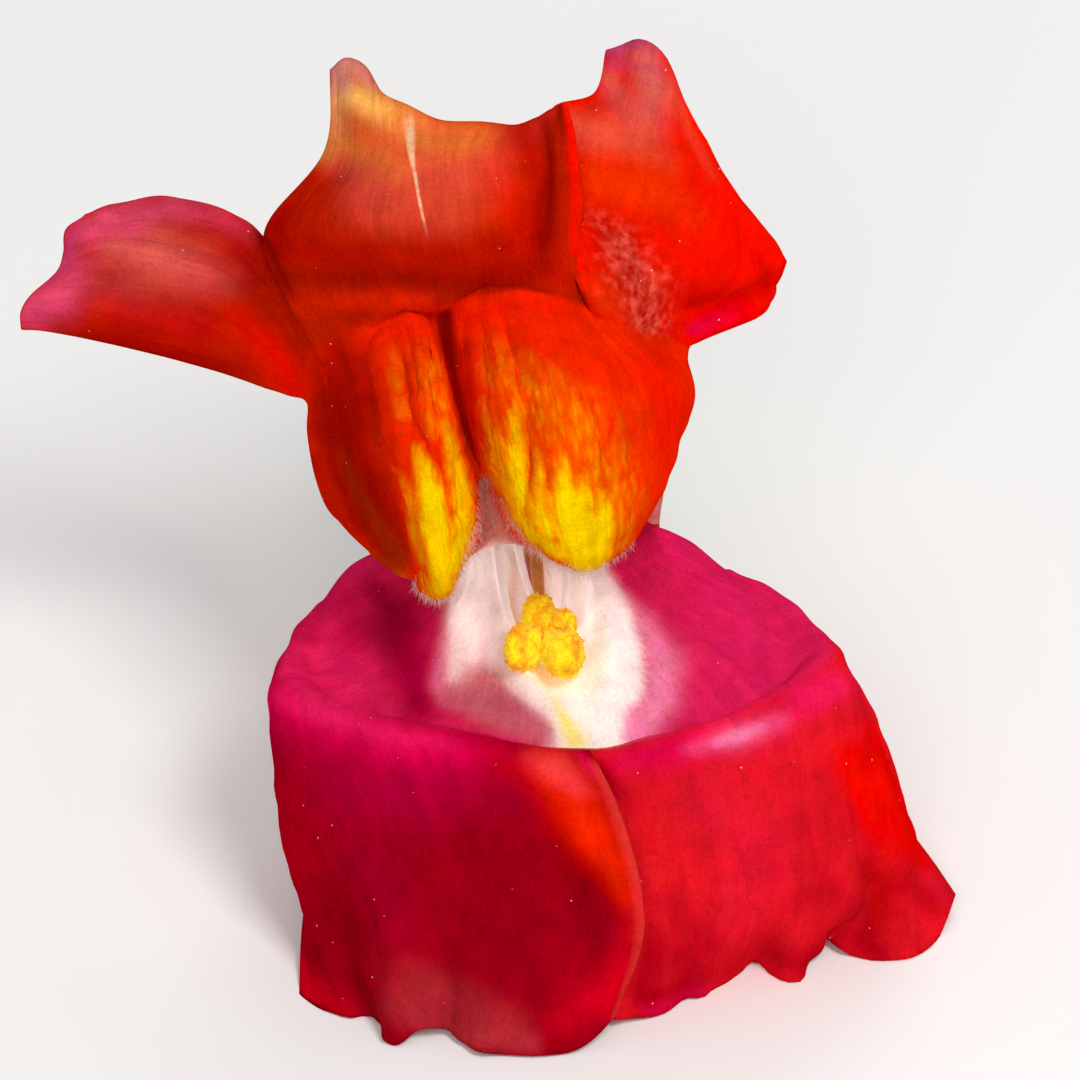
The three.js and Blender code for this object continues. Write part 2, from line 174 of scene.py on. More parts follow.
class Wire:  # a node's output, which can be added, subtracted and multiplied
    def __init__(self, nodes, socket):
        self.nodes = nodes
        self.socket = socket

    def __add__(self, other):
        return self.nodes.math("ADD", self, other)

    def __sub__(self, other):
        return self.nodes.math("SUBTRACT", self, other)

    def __rsub__(self, other):
        return self.nodes.math("SUBTRACT", other, self)

    def __mul__(self, other):
        return self.nodes.math("MULTIPLY", self, other)

    def __rtruediv__(self, other):
        return self.nodes.math("DIVIDE", other, self)


class Nodes:  # short words for building a material's nodes
    def __init__(self, tree):
        self.tree = tree
        self.skin = tree.nodes.get("Principled BSDF")

    def feed(self, node, inputs):
        for key, value in dict(inputs).items():
            if isinstance(value, Wire):
                self.tree.links.new(value.socket, node.inputs[key])
            else:
                node.inputs[key].default_value = value

    def add(self, kind, inputs=(), **settings):
        node = self.tree.nodes.new(kind)
        for key, value in settings.items():
            setattr(node, key, value)
        self.feed(node, inputs)
        made = {}
        for socket in node.outputs:
            made[socket.identifier] = made[socket.name] = Wire(self, socket)
        return made

    def math(self, operation, a, b=0.0):
        return self.add("ShaderNodeMath", {0: a, 1: b}, operation=operation)["Value"]

    def step(self, value, low, high, toLow=0.0, toHigh=1.0):
        ends = {"Value": value, "From Min": low, "From Max": high, "To Min": toLow, "To Max": toHigh}
        return self.add("ShaderNodeMapRange", ends, interpolation_type="SMOOTHSTEP")["Result"]

    def mix(self, share, a, b, blend="MIX"):
        node = self.add("ShaderNodeMix", {0: share, 6: a, 7: b}, data_type="RGBA", blend_type=blend)
        return node["Result_Color"]

    def noise(self, where, scale, detail, bend=0.0):
        inputs = {"Vector": where, "Scale": scale, "Detail": detail, "Distortion": bend}
        return self.add("ShaderNodeTexNoise", inputs)["Fac"]

    def cells(self, where, scale):
        return self.add("ShaderNodeTexVoronoi", {"Vector": where, "Scale": scale}, feature="F1")

    def stretched(self, where, across, along):
        return self.add("ShaderNodeMapping", {"Vector": where, "Scale": (across, along, 1.0)})["Vector"]


def newMaterial(name):
    material = bpy.data.materials.new(name)
    material.use_nodes = True
    return material, Nodes(material.node_tree)


def makeTissueGroup():  # fine grain and soft blotches of living cells, shared by every skin
    group = bpy.data.node_groups.new("tissue", "ShaderNodeTree")
    sockets = {"INPUT": ["Cell Size", "Grain", "Blotch", "Blotch Size"], "OUTPUT": ["Height"]}
    for side, names in sockets.items():
        group.interface.new_socket("Color", in_out=side, socket_type="NodeSocketColor")
        for name in names:
            group.interface.new_socket(name, in_out=side, socket_type="NodeSocketFloat")
    n = Nodes(group)
    given = n.add("NodeGroupInput")
    where = n.add("ShaderNodeTexCoord")["Object"]
    perCell = 1000.0 / given["Cell Size"]
    fine = n.noise(where, perCell, 2.0)
    blotch = n.noise(where, 1000.0 / given["Blotch Size"], 3.0)
    light = (fine - 0.5) * given["Grain"] + (blotch - 0.5) * given["Blotch"]
    shade = {"Value": light * 4.0 + 1.0, "Color": given["Color"]}
    height = fine - n.cells(where, perCell)["Distance"]
    colour = n.add("ShaderNodeHueSaturation", shade)["Color"]
    n.feed(group.nodes.new("NodeGroupOutput"), {"Color": colour, "Height": height})
    return group


makeStudio()
tissue = makeTissueGroup()


def addTissue(n, colour, look):
    given = {"Color": colour, "Cell Size": look["cell"], "Grain": look["grain"]}
    given |= {"Blotch": look["blotch"], "Blotch Size": look["blotchSize"]}
    return n.add("ShaderNodeGroup", given, node_tree=tissue)


petalSkin = {
    # from the top of the palate to its tip: how gold it is, and its colour there
    "gold": [(0.12, "#f42c02"), (0.36, "#f65a02"), (0.58, "#f98c02"), (0.8, "#fcb802"), (1.0, "#fdd804")],
    "pale": "#f4a8a4",
    "rib": "#f8c8a0",
    "dust": "#f6dcd8",
    "down": ["#9c1a12", "#e86a58", "#9c1c10"],  # between hairs, on them, in their shade
    "streaks": 22,
    "glow": 0.5,  # painted glow: emission that brightens the thin white walls
    "roughness": 0.48,
    "cell": 0.13,
    "grain": 0.12,
    "blotch": 0.12,
    "blotchSize": 1.4,
}


def makePetalMaterial(name, outside):
    material, n = newMaterial(name)
    tint = n.add("ShaderNodeAttribute", attribute_name="tint")
    marks = n.add("ShaderNodeAttribute", attribute_name="marks")
    split = n.add("ShaderNodeSeparateColor", {"Color": marks["Color"]})
    gold, veins, down = split["Red"], split["Green"], split["Blue"]
    place = n.add("ShaderNodeTexCoord")
    where, alongPetal = place["Object"], place["UV"]

    # veins run with the petal: thin across, long from foot to margin
    streaks = petalSkin["streaks"]
    streak = n.noise(n.stretched(alongPetal, streaks, 2.2), 1.0, 3.0, 0.4)
    fine = n.noise(n.stretched(alongPetal, streaks * 3.0, 7.0), 1.0, 3.0, 0.8)
    tongues = n.noise(n.stretched(alongPetal, streaks * 1.1, 5.0), 1.0, 3.0, 1.2)
    beads = n.cells(n.stretched(alongPetal, 50.0, 22.0), 1.0)["Distance"]
    clouds = ((0.8, 3.0), (3.2, 4.0), (1.9, 5.0), (0.45, 3.0))  # size and detail of each
    lumps, patches, rosiness, mottle = [n.noise(where, 1000 / size, detail) for size, detail in clouds]

    # the palate's colour: each streak of gold reaches up by its own length
    sway = tongues - 0.5 + (lumps - 0.5) * 0.8
    level = gold + sway * n.step(gold, 0.0, 0.3, 0.0, 0.5)
    level = level - (beads - 0.35) * n.step(gold, 0.1, 0.4, 0.0, 0.3)
    ramp = material.node_tree.nodes.new("ShaderNodeValToRGB")
    n.feed(ramp, {"Fac": level})
    stops = ramp.color_ramp.elements
    for at, _ in petalSkin["gold"][1:-1]:
        stops.new(at)
    for stop, (at, colour) in zip(stops, petalSkin["gold"]):
        stop.position = at
        stop.color = rgba(colour)
    colour = n.mix(n.step(gold, 0.02, 0.25), tint["Color"], Wire(n, ramp.outputs["Color"]))

    # rosy and dark patches, mottling and faint veins, all weaker on the gold and the white walls
    plain = 1.0 - gold * 0.8
    coloured = n.step(tint["Alpha"], 0.02, 0.2, 1.0, 0.0)
    dark = n.mix(coloured, (0.88, 0.74, 0.76, 1), (0.6, 0.42, 0.5, 1))
    dark = n.mix(1.0, colour, dark, "MULTIPLY")
    warmth = n.step(mottle * 0.6 + rosiness * 0.4, 0.36, 0.64)
    warmth = n.mix(warmth, (0.97, 0.84, 1.02, 1), (1.03, 1.1, 0.92, 1))
    colour = n.mix(plain * coloured, colour, warmth, "MULTIPLY")
    colour = n.mix(n.step(patches, 0.42, 0.78) * (veins * 1.2), colour, dark)
    freckled = plain * n.step(coloured, 0.0, 1.0, 0.08, 1.0) * 0.34
    colour = n.mix(n.step(mottle, 0.48, 0.72) * freckled, colour, dark)
    light = n.mix(1.0, colour, (1.18, 1.7, 1.35, 1), "MULTIPLY")
    colour = n.mix(n.step(streak, 0.34, 0.48, 0.7, 0.0) * freckled, colour, light)
    colour = n.mix(n.step(streak, 0.5, 0.72) * veins, colour, dark)
    colour = n.mix(n.step(fine, 0.52, 0.78) * veins, colour, dark)
    if outside:
        colour = n.mix(0.3, colour, rgba(petalSkin["pale"]))
    else:
        offRib = n.math("ABSOLUTE", n.add("ShaderNodeAttribute", attribute_name="offRib")["Fac"])
        rib = n.step(offRib, 0.02, 0.1, 1.0, 0.0) * marks["Alpha"] * n.step(mottle, 0.3, 0.6, 0.4, 0.85)
        colour = n.mix(rib, colour, rgba(petalSkin["rib"]))

    # down at the foot of the right wing
    between, onHairs, inShade = [rgba(shade) for shade in petalSkin["down"]]
    downy = n.mix(n.step(n.noise(where, 2100.0, 4.0), 0.32, 0.74), between, onHairs)
    downy = n.mix(n.step(lumps, 0.4, 0.62, 0.0, 0.55), downy, inShade)
    colour = n.mix(down * n.step(patches, 0.3, 0.6, 0.7, 0.95), colour, downy)

    colour = n.add("ShaderNodeHueSaturation", {"Saturation": 1.01, "Color": colour})["Color"]
    body = addTissue(n, colour, petalSkin)
    motes = n.cells(where, 1700.0)
    pick = n.add("ShaderNodeSeparateColor", {"Color": motes["Color"]})
    near = n.math("LESS_THAN", motes["Distance"], pick["Green"] * 0.07)
    speck = near * n.math("GREATER_THAN", pick["Red"], 0.6)
    colour = n.mix(speck * 0.6, body["Color"], rgba(petalSkin["dust"]))

    cells = {"Height": body["Height"], "Strength": 0.35, "Distance": 0.00003}
    relief = {
        "Height": streak * 0.7 + lumps * (gold + 0.5) + (fine * 0.5 + rosiness * 0.9),
        "Strength": 0.5,
        "Distance": 0.0002,
        "Normal": n.add("ShaderNodeBump", cells)["Normal"],
    }
    n.feed(n.skin, {
        "Base Color": colour,
        "Roughness": fine * 0.14 + petalSkin["roughness"],
        "Normal": n.add("ShaderNodeBump", relief)["Normal"],
        "Specular IOR Level": 0.0,
        "Specular Tint": (1.0, 0.4, 0.45, 1),
    })
    if not outside:
        # painted glow: the white walls give off light of their own colour
        glow = n.mix(tint["Alpha"], (0, 0, 0, 1), colour)
        n.feed(n.skin, {"Emission Color": glow, "Emission Strength": petalSkin["glow"]})
    return material


# glow is emission that brightens the pistil, filaments and pollen in the throat's shade
plantSkins = {
    "sepal": {"base": "#86a852", "dark": "#5f8a38"},
    "stalk": {"base": "#93ad5c", "dark": "#6c9142"},
    "pistil": {"base": "#cfdc9c", "dark": "#aac274", "glow": 0.08,
               # other colours towards the front, each in front of its place in metres; the brown at the
               # very front is painted shade
               "tips": [("#f6ece2", 0.008), ("#dc9448", -0.002)]},
    "filament": {"base": "#fbf4f0", "dark": "#f4e6de", "roughness": 0.6, "glow": 0.34},
    "pollen": {"base": "#ffe40a", "dark": "#f09404", "cell": 0.07, "bump": 0.9, "roughness": 0.85,
               "glow": 0.36, "patches": 1500.0},
    "hair": {"base": "#fbeee0", "dark": "#f4d2bc", "roughness": 0.35, "softness": 0.3},
    "down": {"base": "#e6ecc8", "dark": "#d2dcae", "roughness": 0.4},
}
plainSkin = {
    "cell": 0.16, "grain": 0.12, "blotch": 0.1, "blotchSize": 1.1, "bump": 0.35, "patches": 480.0,
    "roughness": 0.5, "softness": 0.15, "glow": 0.0, "tips": [],
}


def makePlantMaterial(name):
    look = plainSkin | plantSkins[name]
    material, n = newMaterial(name + "Skin")
    where = n.add("ShaderNodeTexCoord")["Object"]
    patches = n.noise(where, look["patches"], 4.0)
    colour = n.mix(n.step(patches, 0.35, 0.7), rgba(look["base"]), rgba(look["dark"]))
    for tip, place in look["tips"]:
        along = n.add("ShaderNodeSeparateXYZ", {"Vector": where})["Y"]
        colour = n.mix(n.step(along, place, place + 0.002), rgba(tip), colour)
    body = addTissue(n, colour, look)
    relief = {"Height": body["Height"], "Strength": look["bump"], "Distance": 0.00005}
    n.feed(n.skin, {
        "Base Color": body["Color"],
        "Normal": n.add("ShaderNodeBump", relief)["Normal"],
        "Emission Strength": look["glow"],
        "Roughness": look["roughness"],
        "Specular IOR Level": 0.35,
        "Sheen Weight": 0.1,
        "Subsurface Weight": look["softness"],
        "Subsurface Radius": (0.6, 0.8, 0.3),
        "Subsurface Scale": 0.0005,
    })
    # painted glow
    if look["glow"]:
        n.feed(n.skin, {"Emission Color": body["Color"]})
    return material


petalFront = makePetalMaterial("petalFront", False)
petalBack = makePetalMaterial("petalBack", True)
skins = {name: makePlantMaterial(name) for name in plantSkins}
print("materials ready")


def selectOnly(*pieces):
    bpy.ops.object.select_all(action="DESELECT")
    for piece in pieces:
        piece.select_set(True)
    bpy.context.view_layer.objects.active = pieces[0]


def dress(piece, *materials):
    piece.data.materials.clear()
    for material in materials:
        piece.data.materials.append(material)


def finishPiece(piece, name, slot, *nodes):
    piece.name = name
    piece.data.name = name
    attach(piece, "root")
    if nodes:
        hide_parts(*nodes)
    print("made", name, len(piece.data.polygons), "faces")


def cornersOf(mesh):  # in metres
    corners = np.zeros(len(mesh.vertices) * 3)
    mesh.vertices.foreach_get("co", corners)
    return corners.reshape(-1, 3)


def moveCorners(mesh, places):
    mesh.vertices.foreach_set("co", places.ravel())
    mesh.update()


def restOnFloor(mesh):
    corners = cornersOf(mesh)
    corners[:, 2] = np.maximum(corners[:, 2], floorGap)
    moveCorners(mesh, corners)


def addNumbers(mesh, name, values):
    kind, key = ("FLOAT", "value") if np.ndim(values) == 1 else ("FLOAT_COLOR", "color")
    attribute = mesh.attributes.new(name, kind, "POINT")
    attribute.data.foreach_set(key, np.asarray(values, np.float32).ravel())


# A flat grid primitive, bent to the points of grid[row][column]. The wall, given later, thins over the
# last rails before the margin.
def gridSheet(grid, rail, u, v, thinning):
    rows, columns = grid.shape[0] - 1, grid.shape[1] - 1
    bpy.ops.mesh.primitive_grid_add(x_subdivisions=columns, y_subdivisions=rows, size=2)
    sheet = bpy.context.object
    mesh = sheet.data
    flat = cornersOf(mesh)
    c = np.rint((flat[:, 0] + 1) / 2 * columns).astype(int)
    r = np.rint((flat[:, 1] + 1) / 2 * rows).astype(int)
    moveCorners(mesh, inPart(grid[r, c]))
    loops = np.zeros(len(mesh.loops), int)
    mesh.loops.foreach_get("vertex_index", loops)
    uv = np.stack([u[c[loops]], v[r[loops]]], axis=-1)
    mesh.uv_layers[0].data.foreach_set("uv", uv.ravel())
    body = sheet.vertex_groups.new(name="wallBody")
    for row, share in enumerate(1 - smoothStep(rail[-1] - thinning, rail[-1], rail)):
        body.add(np.nonzero(r == row)[0].tolist(), float(share), "REPLACE")
    return sheet, r, c


def closeSheets(sheets, thick, thin, *materials):  # one sheet of them all, with a closed wall
    selectOnly(*sheets)
    bpy.ops.object.join()
    bpy.ops.object.mode_set(mode="EDIT")
    bpy.ops.mesh.select_all(action="SELECT")
    bpy.ops.mesh.remove_doubles(threshold=mergeDistance)
    bpy.ops.object.mode_set(mode="OBJECT")
    bpy.ops.object.shade_smooth()
    piece = bpy.context.object
    dress(piece, *materials)
    wall = piece.modifiers.new("wall", "SOLIDIFY")
    wall.thickness = thick * mm
    wall.offset = 0
    wall.use_rim = True
    wall.vertex_group = "wallBody"
    wall.thickness_vertex_group = thin / thick
    wall.material_offset = wall.material_offset_rim = len(materials) - 1
    bpy.ops.object.modifier_apply(modifier=wall.name)
    restOnFloor(piece.data)
    return piece


def gridNormals(grid):
    return unit(np.cross(np.gradient(grid, axis=1), np.gradient(grid, axis=0)))


# The corolla: five petals, each a strip from the foot of the tube to its margin.
tube = {
    "mouth": (-0.6, 21.2, 14.8),
    "foot": (0.2, 38.4, 8.4),
    # share of the way from mouth to foot, half width, half height, extra height of the pouch
    "rings": [(1.0, 1.9, 1.9, 0), (0.95, 3.5, 3.4, 0.4), (0.8, 4.5, 4.3, 1.0), (0.5, 4.7, 4.4, 0.5),
              (0.2, 5.1, 4.5, 0)],
    "ringPoints": 7,
}
partCount = 5  # petals, and sepals too
seams = {"leftCorner": 190, "upperMid": 270, "rightCorner": 350, "lowerRight": 395, "lowerLeft": 505}

# Rails across each petal, [across, up the face, back into the face].
upperLip = [
    [[-6.3, 21.6, 10.2], [-5.4, 20.3, 10.9], [-4.0, 19.3, 11.3], [-2.0, 18.8, 11.5], [0.3, 18.7, 11.4],
     [2.4, 18.9, 11.3], [4.0, 19.8, 10.9], [4.9, 21.0, 10.3], [5.0, 22.2, 9.8]],
    [[-8.2, 20.1, 11.2], [-8.6, 18.1, 8.8], [-7.2, 15.8, 6.6], [-3.6, 14.4, 5.6], [1.2, 14.5, 5.4],
     [5.4, 14.8, 5.4], [8.3, 16.9, 6.8], [7.9, 19.2, 9.2], [6.6, 21.1, 11.2]],
    [[-9.2, 18.8, 11.4], [-9.6, 17.4, 8.1], [-9.0, 14.7, 4.7], [-4.8, 12.6, 2.6], [1.6, 11.6, 2.3],
     [6.6, 12.5, 2.9], [10.5, 15.4, 5.6], [9.8, 18.2, 8.9], [7.8, 20.1, 11.4]],
    [[-9.9, 17.75, 11.2], [-10.65, 17.0, 7.4], [-10.6, 14.8, 3.6], [-5.6, 13.4, 0.6], [2.05, 12.5, 0.2],
     [7.4, 13.5, 0.9], [12.35, 16.0, 4.6], [11.25, 18.15, 8.6], [8.8, 19.45, 11.4]],
]
leftSkirt = [
    [[-10.7, 13.0, 9.8], [-11.25, 12.0, 6.0], [-9.8, 10.4, 2.4], [-4.2, 9.6, -0.6], [3.35, 9.9, -0.6]],
    [[-10.0, 7.2, 7.4], [-10.1, 6.0, 4.2], [-8.1, 5.2, 1.8], [-3.0, 4.8, -0.5], [4.3, 5.6, -0.6]],
    [[-10.05, 2.1, 3.6], [-9.7, 1.8, 3.0], [-8.9, 1.55, 2.4], [-8.0, 1.35, 2.0], [-7.2, 1.45, 1.9],
     [-6.4, 0.9, 1.4], [-5.9, 0.35, 0.8], [-5.2, 0.85, 0.8], [-4.3, 0.95, 0.6], [-3.0, 0.3, 0.3],
     [-1.2, -0.05, 0.0], [1.4, 0.1, 0.1], [3.1, 1.45, 0.5]],
]
rightSkirt = [
    [[2.6, 10.1, 0.4], [8.4, 10.4, -0.1], [13.2, 11.8, 2.8], [14.3, 13.6, 7.4], [12.3, 15.2, 12.0]],
    [[3.2, 5.6, 0.5], [9.0, 6.1, 1.3], [13.7, 7.1, 3.8], [15.7, 8.1, 7.6], [14.9, 9.9, 11.4]],
    [[3.1, 1.3, 1.3], [4.7, 1.45, 2.2], [6.2, 2.15, 3.1], [7.9, 2.6, 4.0], [9.0, 3.3, 4.7],
     [10.3, 2.75, 4.4], [11.4, 3.8, 4.9], [12.1, 4.4, 5.5], [13.0, 3.85, 5.4], [14.2, 3.5, 5.3],
     [15.8, 3.6, 5.4], [17.0, 4.4, 6.4], [17.75, 5.9, 8.2]],
]
lowerLip = [
    [[5.0, 22.2, 9.8], [5.0, 24.6, 8.8], [2.8, 27.0, 7.2], [-0.6, 27.8, 6.6], [-3.8, 27.0, 7.2],
     [-6.0, 24.6, 8.8], [-6.3, 21.6, 10.2]],
    [[4.6, 22.6, 9.2], [4.4, 22.7, 7.4], [2.0, 22.0, 6.0], [-1.4, 21.6, 6.2], [-4.0, 21.4, 6.0],
     [-6.5, 22.0, 7.4], [-7.5, 21.9, 8.9]],
    [[4.75, 23.3, 8.4], [4.3, 22.5, 6.6], [4.05, 21.7, 4.8], [3.1, 20.8, 3.4], [1.75, 20.2, 2.6],
     [0.0, 21.25, 2.4], [-2.3, 24.0, 3.2], [-3.0, 22.0, 2.6], [-4.05, 19.15, 2.3], [-5.4, 19.7, 3.3],
     [-6.9, 20.75, 4.9], [-8.0, 21.7, 6.4], [-8.8, 22.6, 7.8]],
    [[5.5, 25.0, 7.6], [5.5, 24.6, 5.4], [4.9, 24.0, 3.2], [3.3, 23.2, 1.1], [1.2, 22.7, 0.0],
     [-0.9, 23.4, 0.3], [-2.6, 25.3, 2.2], [-3.4, 23.2, 0.7], [-4.5, 21.7, 0.1], [-6.2, 22.4, 1.8],
     [-7.9, 23.4, 4.2], [-8.8, 23.8, 5.7], [-9.45, 24.1, 7.0]],
    [[6.45, 27.4, 7.0], [6.0, 27.6, 4.8], [4.9, 27.6, 2.6], [2.8, 27.3, 0.4], [0.5, 27.1, -0.7],
     [-1.7, 27.5, -0.1], [-3.2, 28.0, 1.8], [-4.0, 27.1, 0.2], [-5.0, 26.5, -0.3], [-6.8, 26.5, 1.7],
     [-8.6, 26.6, 4.2], [-9.2, 26.3, 5.6], [-9.8, 26.0, 6.8]],
    [[6.2, 29.2, 7.0], [2.7, 30.4, 3.4], [-0.5, 31.2, 1.6], [-3.8, 30.8, 2.4], [-5.7, 30.3, 1.8],
     [-9.1, 28.8, 5.0], [-9.85, 27.3, 7.0]],
]
rightWing = [
    [[6.8, 30.0, 8.2], [4.4, 31.7, 4.6], [1.5, 32.8, 1.8]],
    [[9.3, 31.0, 8.8], [5.4, 34.7, 5.8], [0.6, 36.9, 5.6]],
    [[10.0, 31.7, 8.7], [6.2, 36.9, 7.0], [0.45, 39.75, 7.4]],
    [[10.2, 32.45, 8.6], [7.9, 36.4, 7.6], [6.0, 38.6, 7.6], [4.2, 40.3, 7.7], [2.3, 40.55, 7.8]],
    [[10.6, 33.4, 8.4], [9.7, 34.85, 8.2], [7.6, 37.4, 8.0], [6.2, 40.3, 8.0], [5.3, 42.25, 8.2],
     [4.2, 42.95, 8.4], [2.85, 42.45, 8.4]],
]
middlePetal = [
    [[1.5, 32.8, 1.8], [-0.8, 32.9, 0.2], [-3.8, 32.7, 0.0], [-7.0, 32.3, 0.4], [-10.6, 31.6, 3.4]],
    [[1.55, 35.4, 0.6], [-1.0, 35.1, -0.8], [-4.3, 34.9, -1.2], [-7.8, 34.6, -0.8], [-11.5, 34.3, 2.6]],
    [[1.45, 37.7, 0.4], [-1.2, 37.2, 0.0], [-4.4, 37.3, -0.2], [-7.0, 37.6, 0.2], [-9.0, 37.6, 1.4]],
    [[1.3, 39.4, 0.5], [0.75, 39.65, 0.8], [-0.15, 39.2, 1.2], [-1.2, 38.75, 1.6], [-2.7, 38.8, 1.7],
     [-4.2, 39.15, 1.6], [-5.5, 39.5, 1.6], [-6.75, 40.1, 1.6], [-7.4, 41.15, 1.4], [-8.1, 41.55, 1.2],
     [-8.8, 41.1, 1.2]],
]
leftWing = [
    [[-10.2, 31.6, 5.6], [-10.6, 29.6, 6.8], [-10.9, 27.7, 7.8]],
    [[-12.4, 34.85, 4.8], [-12.8, 32.0, 6.4], [-13.6, 28.7, 8.2]],
    [[-15.6, 36.0, 4.0], [-16.4, 33.0, 5.6], [-17.8, 29.8, 7.8]],
    [[-17.95, 35.65, 4.2], [-18.9, 33.2, 5.2], [-20.6, 30.35, 7.0]],
    [[-19.3, 35.25, 4.7], [-20.15, 34.6, 4.9], [-20.25, 33.6, 5.1], [-20.6, 32.75, 5.4],
     [-21.65, 31.9, 5.8], [-22.15, 31.15, 6.1], [-22.15, 30.4, 6.4]],
]
corolla = {
    "wall": 0.36,
    "marginWall": 0.16,
    "thinning": 1.2,
    "tubeRows": 5,  # rows between two rails
    "petalRows": 15,
    "lengthPerV": 10,
    # name, from and to angle at the tube, its lip and its part of it, free part, columns, rails of the
    # lip and the free part that it shares with the next
    "petals": [
        ("upperLeft", "leftCorner", "upperMid", upperLip, (0, 0.5), leftSkirt, 66, 3),
        ("upperRight", "upperMid", "rightCorner", upperLip, (0.5, 1), rightSkirt, 66, 0),
        ("lowerRight", "rightCorner", "lowerRight", lowerLip, (0, 1 / 6), rightWing, 28, 6),
        ("lowerMiddle", "lowerRight", "lowerLeft", lowerLip, (1 / 6, 5 / 6), middlePetal, 88, 5),
        ("lowerLeft", "lowerLeft", "leftCorner", lowerLip, (5 / 6, 1), leftWing, 28, 0),
    ],
}


def tubeRing(ring, fromAngle, toAngle):  # part of a ring round the tube's axis
    share, halfWidth, halfHeight, pouch = ring[:4]
    mouth, foot = np.array(tube["mouth"]), np.array(tube["foot"])
    axis = unit(foot - mouth)
    side = unit(np.cross(axis, (0, 0, 1)))
    up = np.cross(side, axis)
    angle = np.radians(np.linspace(fromAngle, toAngle, tube["ringPoints"]))[:, None]
    height = halfHeight + pouch * np.maximum(0, np.sin(angle)) ** 2
    return mouth + (foot - mouth) * share + side * halfWidth * np.cos(angle) + up * height * np.sin(angle)


def stripGrid(rails, spans, columns, rowSteps):  # points, and the number of the rail that each row is at
    across = np.linspace(0, 1, columns + 1)
    sampled = np.stack([alongCurve(rail, a + (b - a) * across) for rail, (a, b) in zip(rails, spans)])
    shares = [(i + k / steps) / len(rowSteps) for i, steps in enumerate(rowSteps) for k in range(steps)]
    shares = np.array(shares + [1.0])
    return alongCurve(sampled, shares), shares * len(rowSteps)


def shareEdges(grid, grids, rail, before, after):  # neighbours meet along the same points
    first, last = np.sum(rail <= before + tiny), np.sum(rail <= after + tiny)
    if grids:
        grid[:first, 0] = grids[-1][:first, -1]
    if len(grids) == partCount - 1:
        grid[:last, -1] = grids[0][:last, 0]
    grids.append(grid)


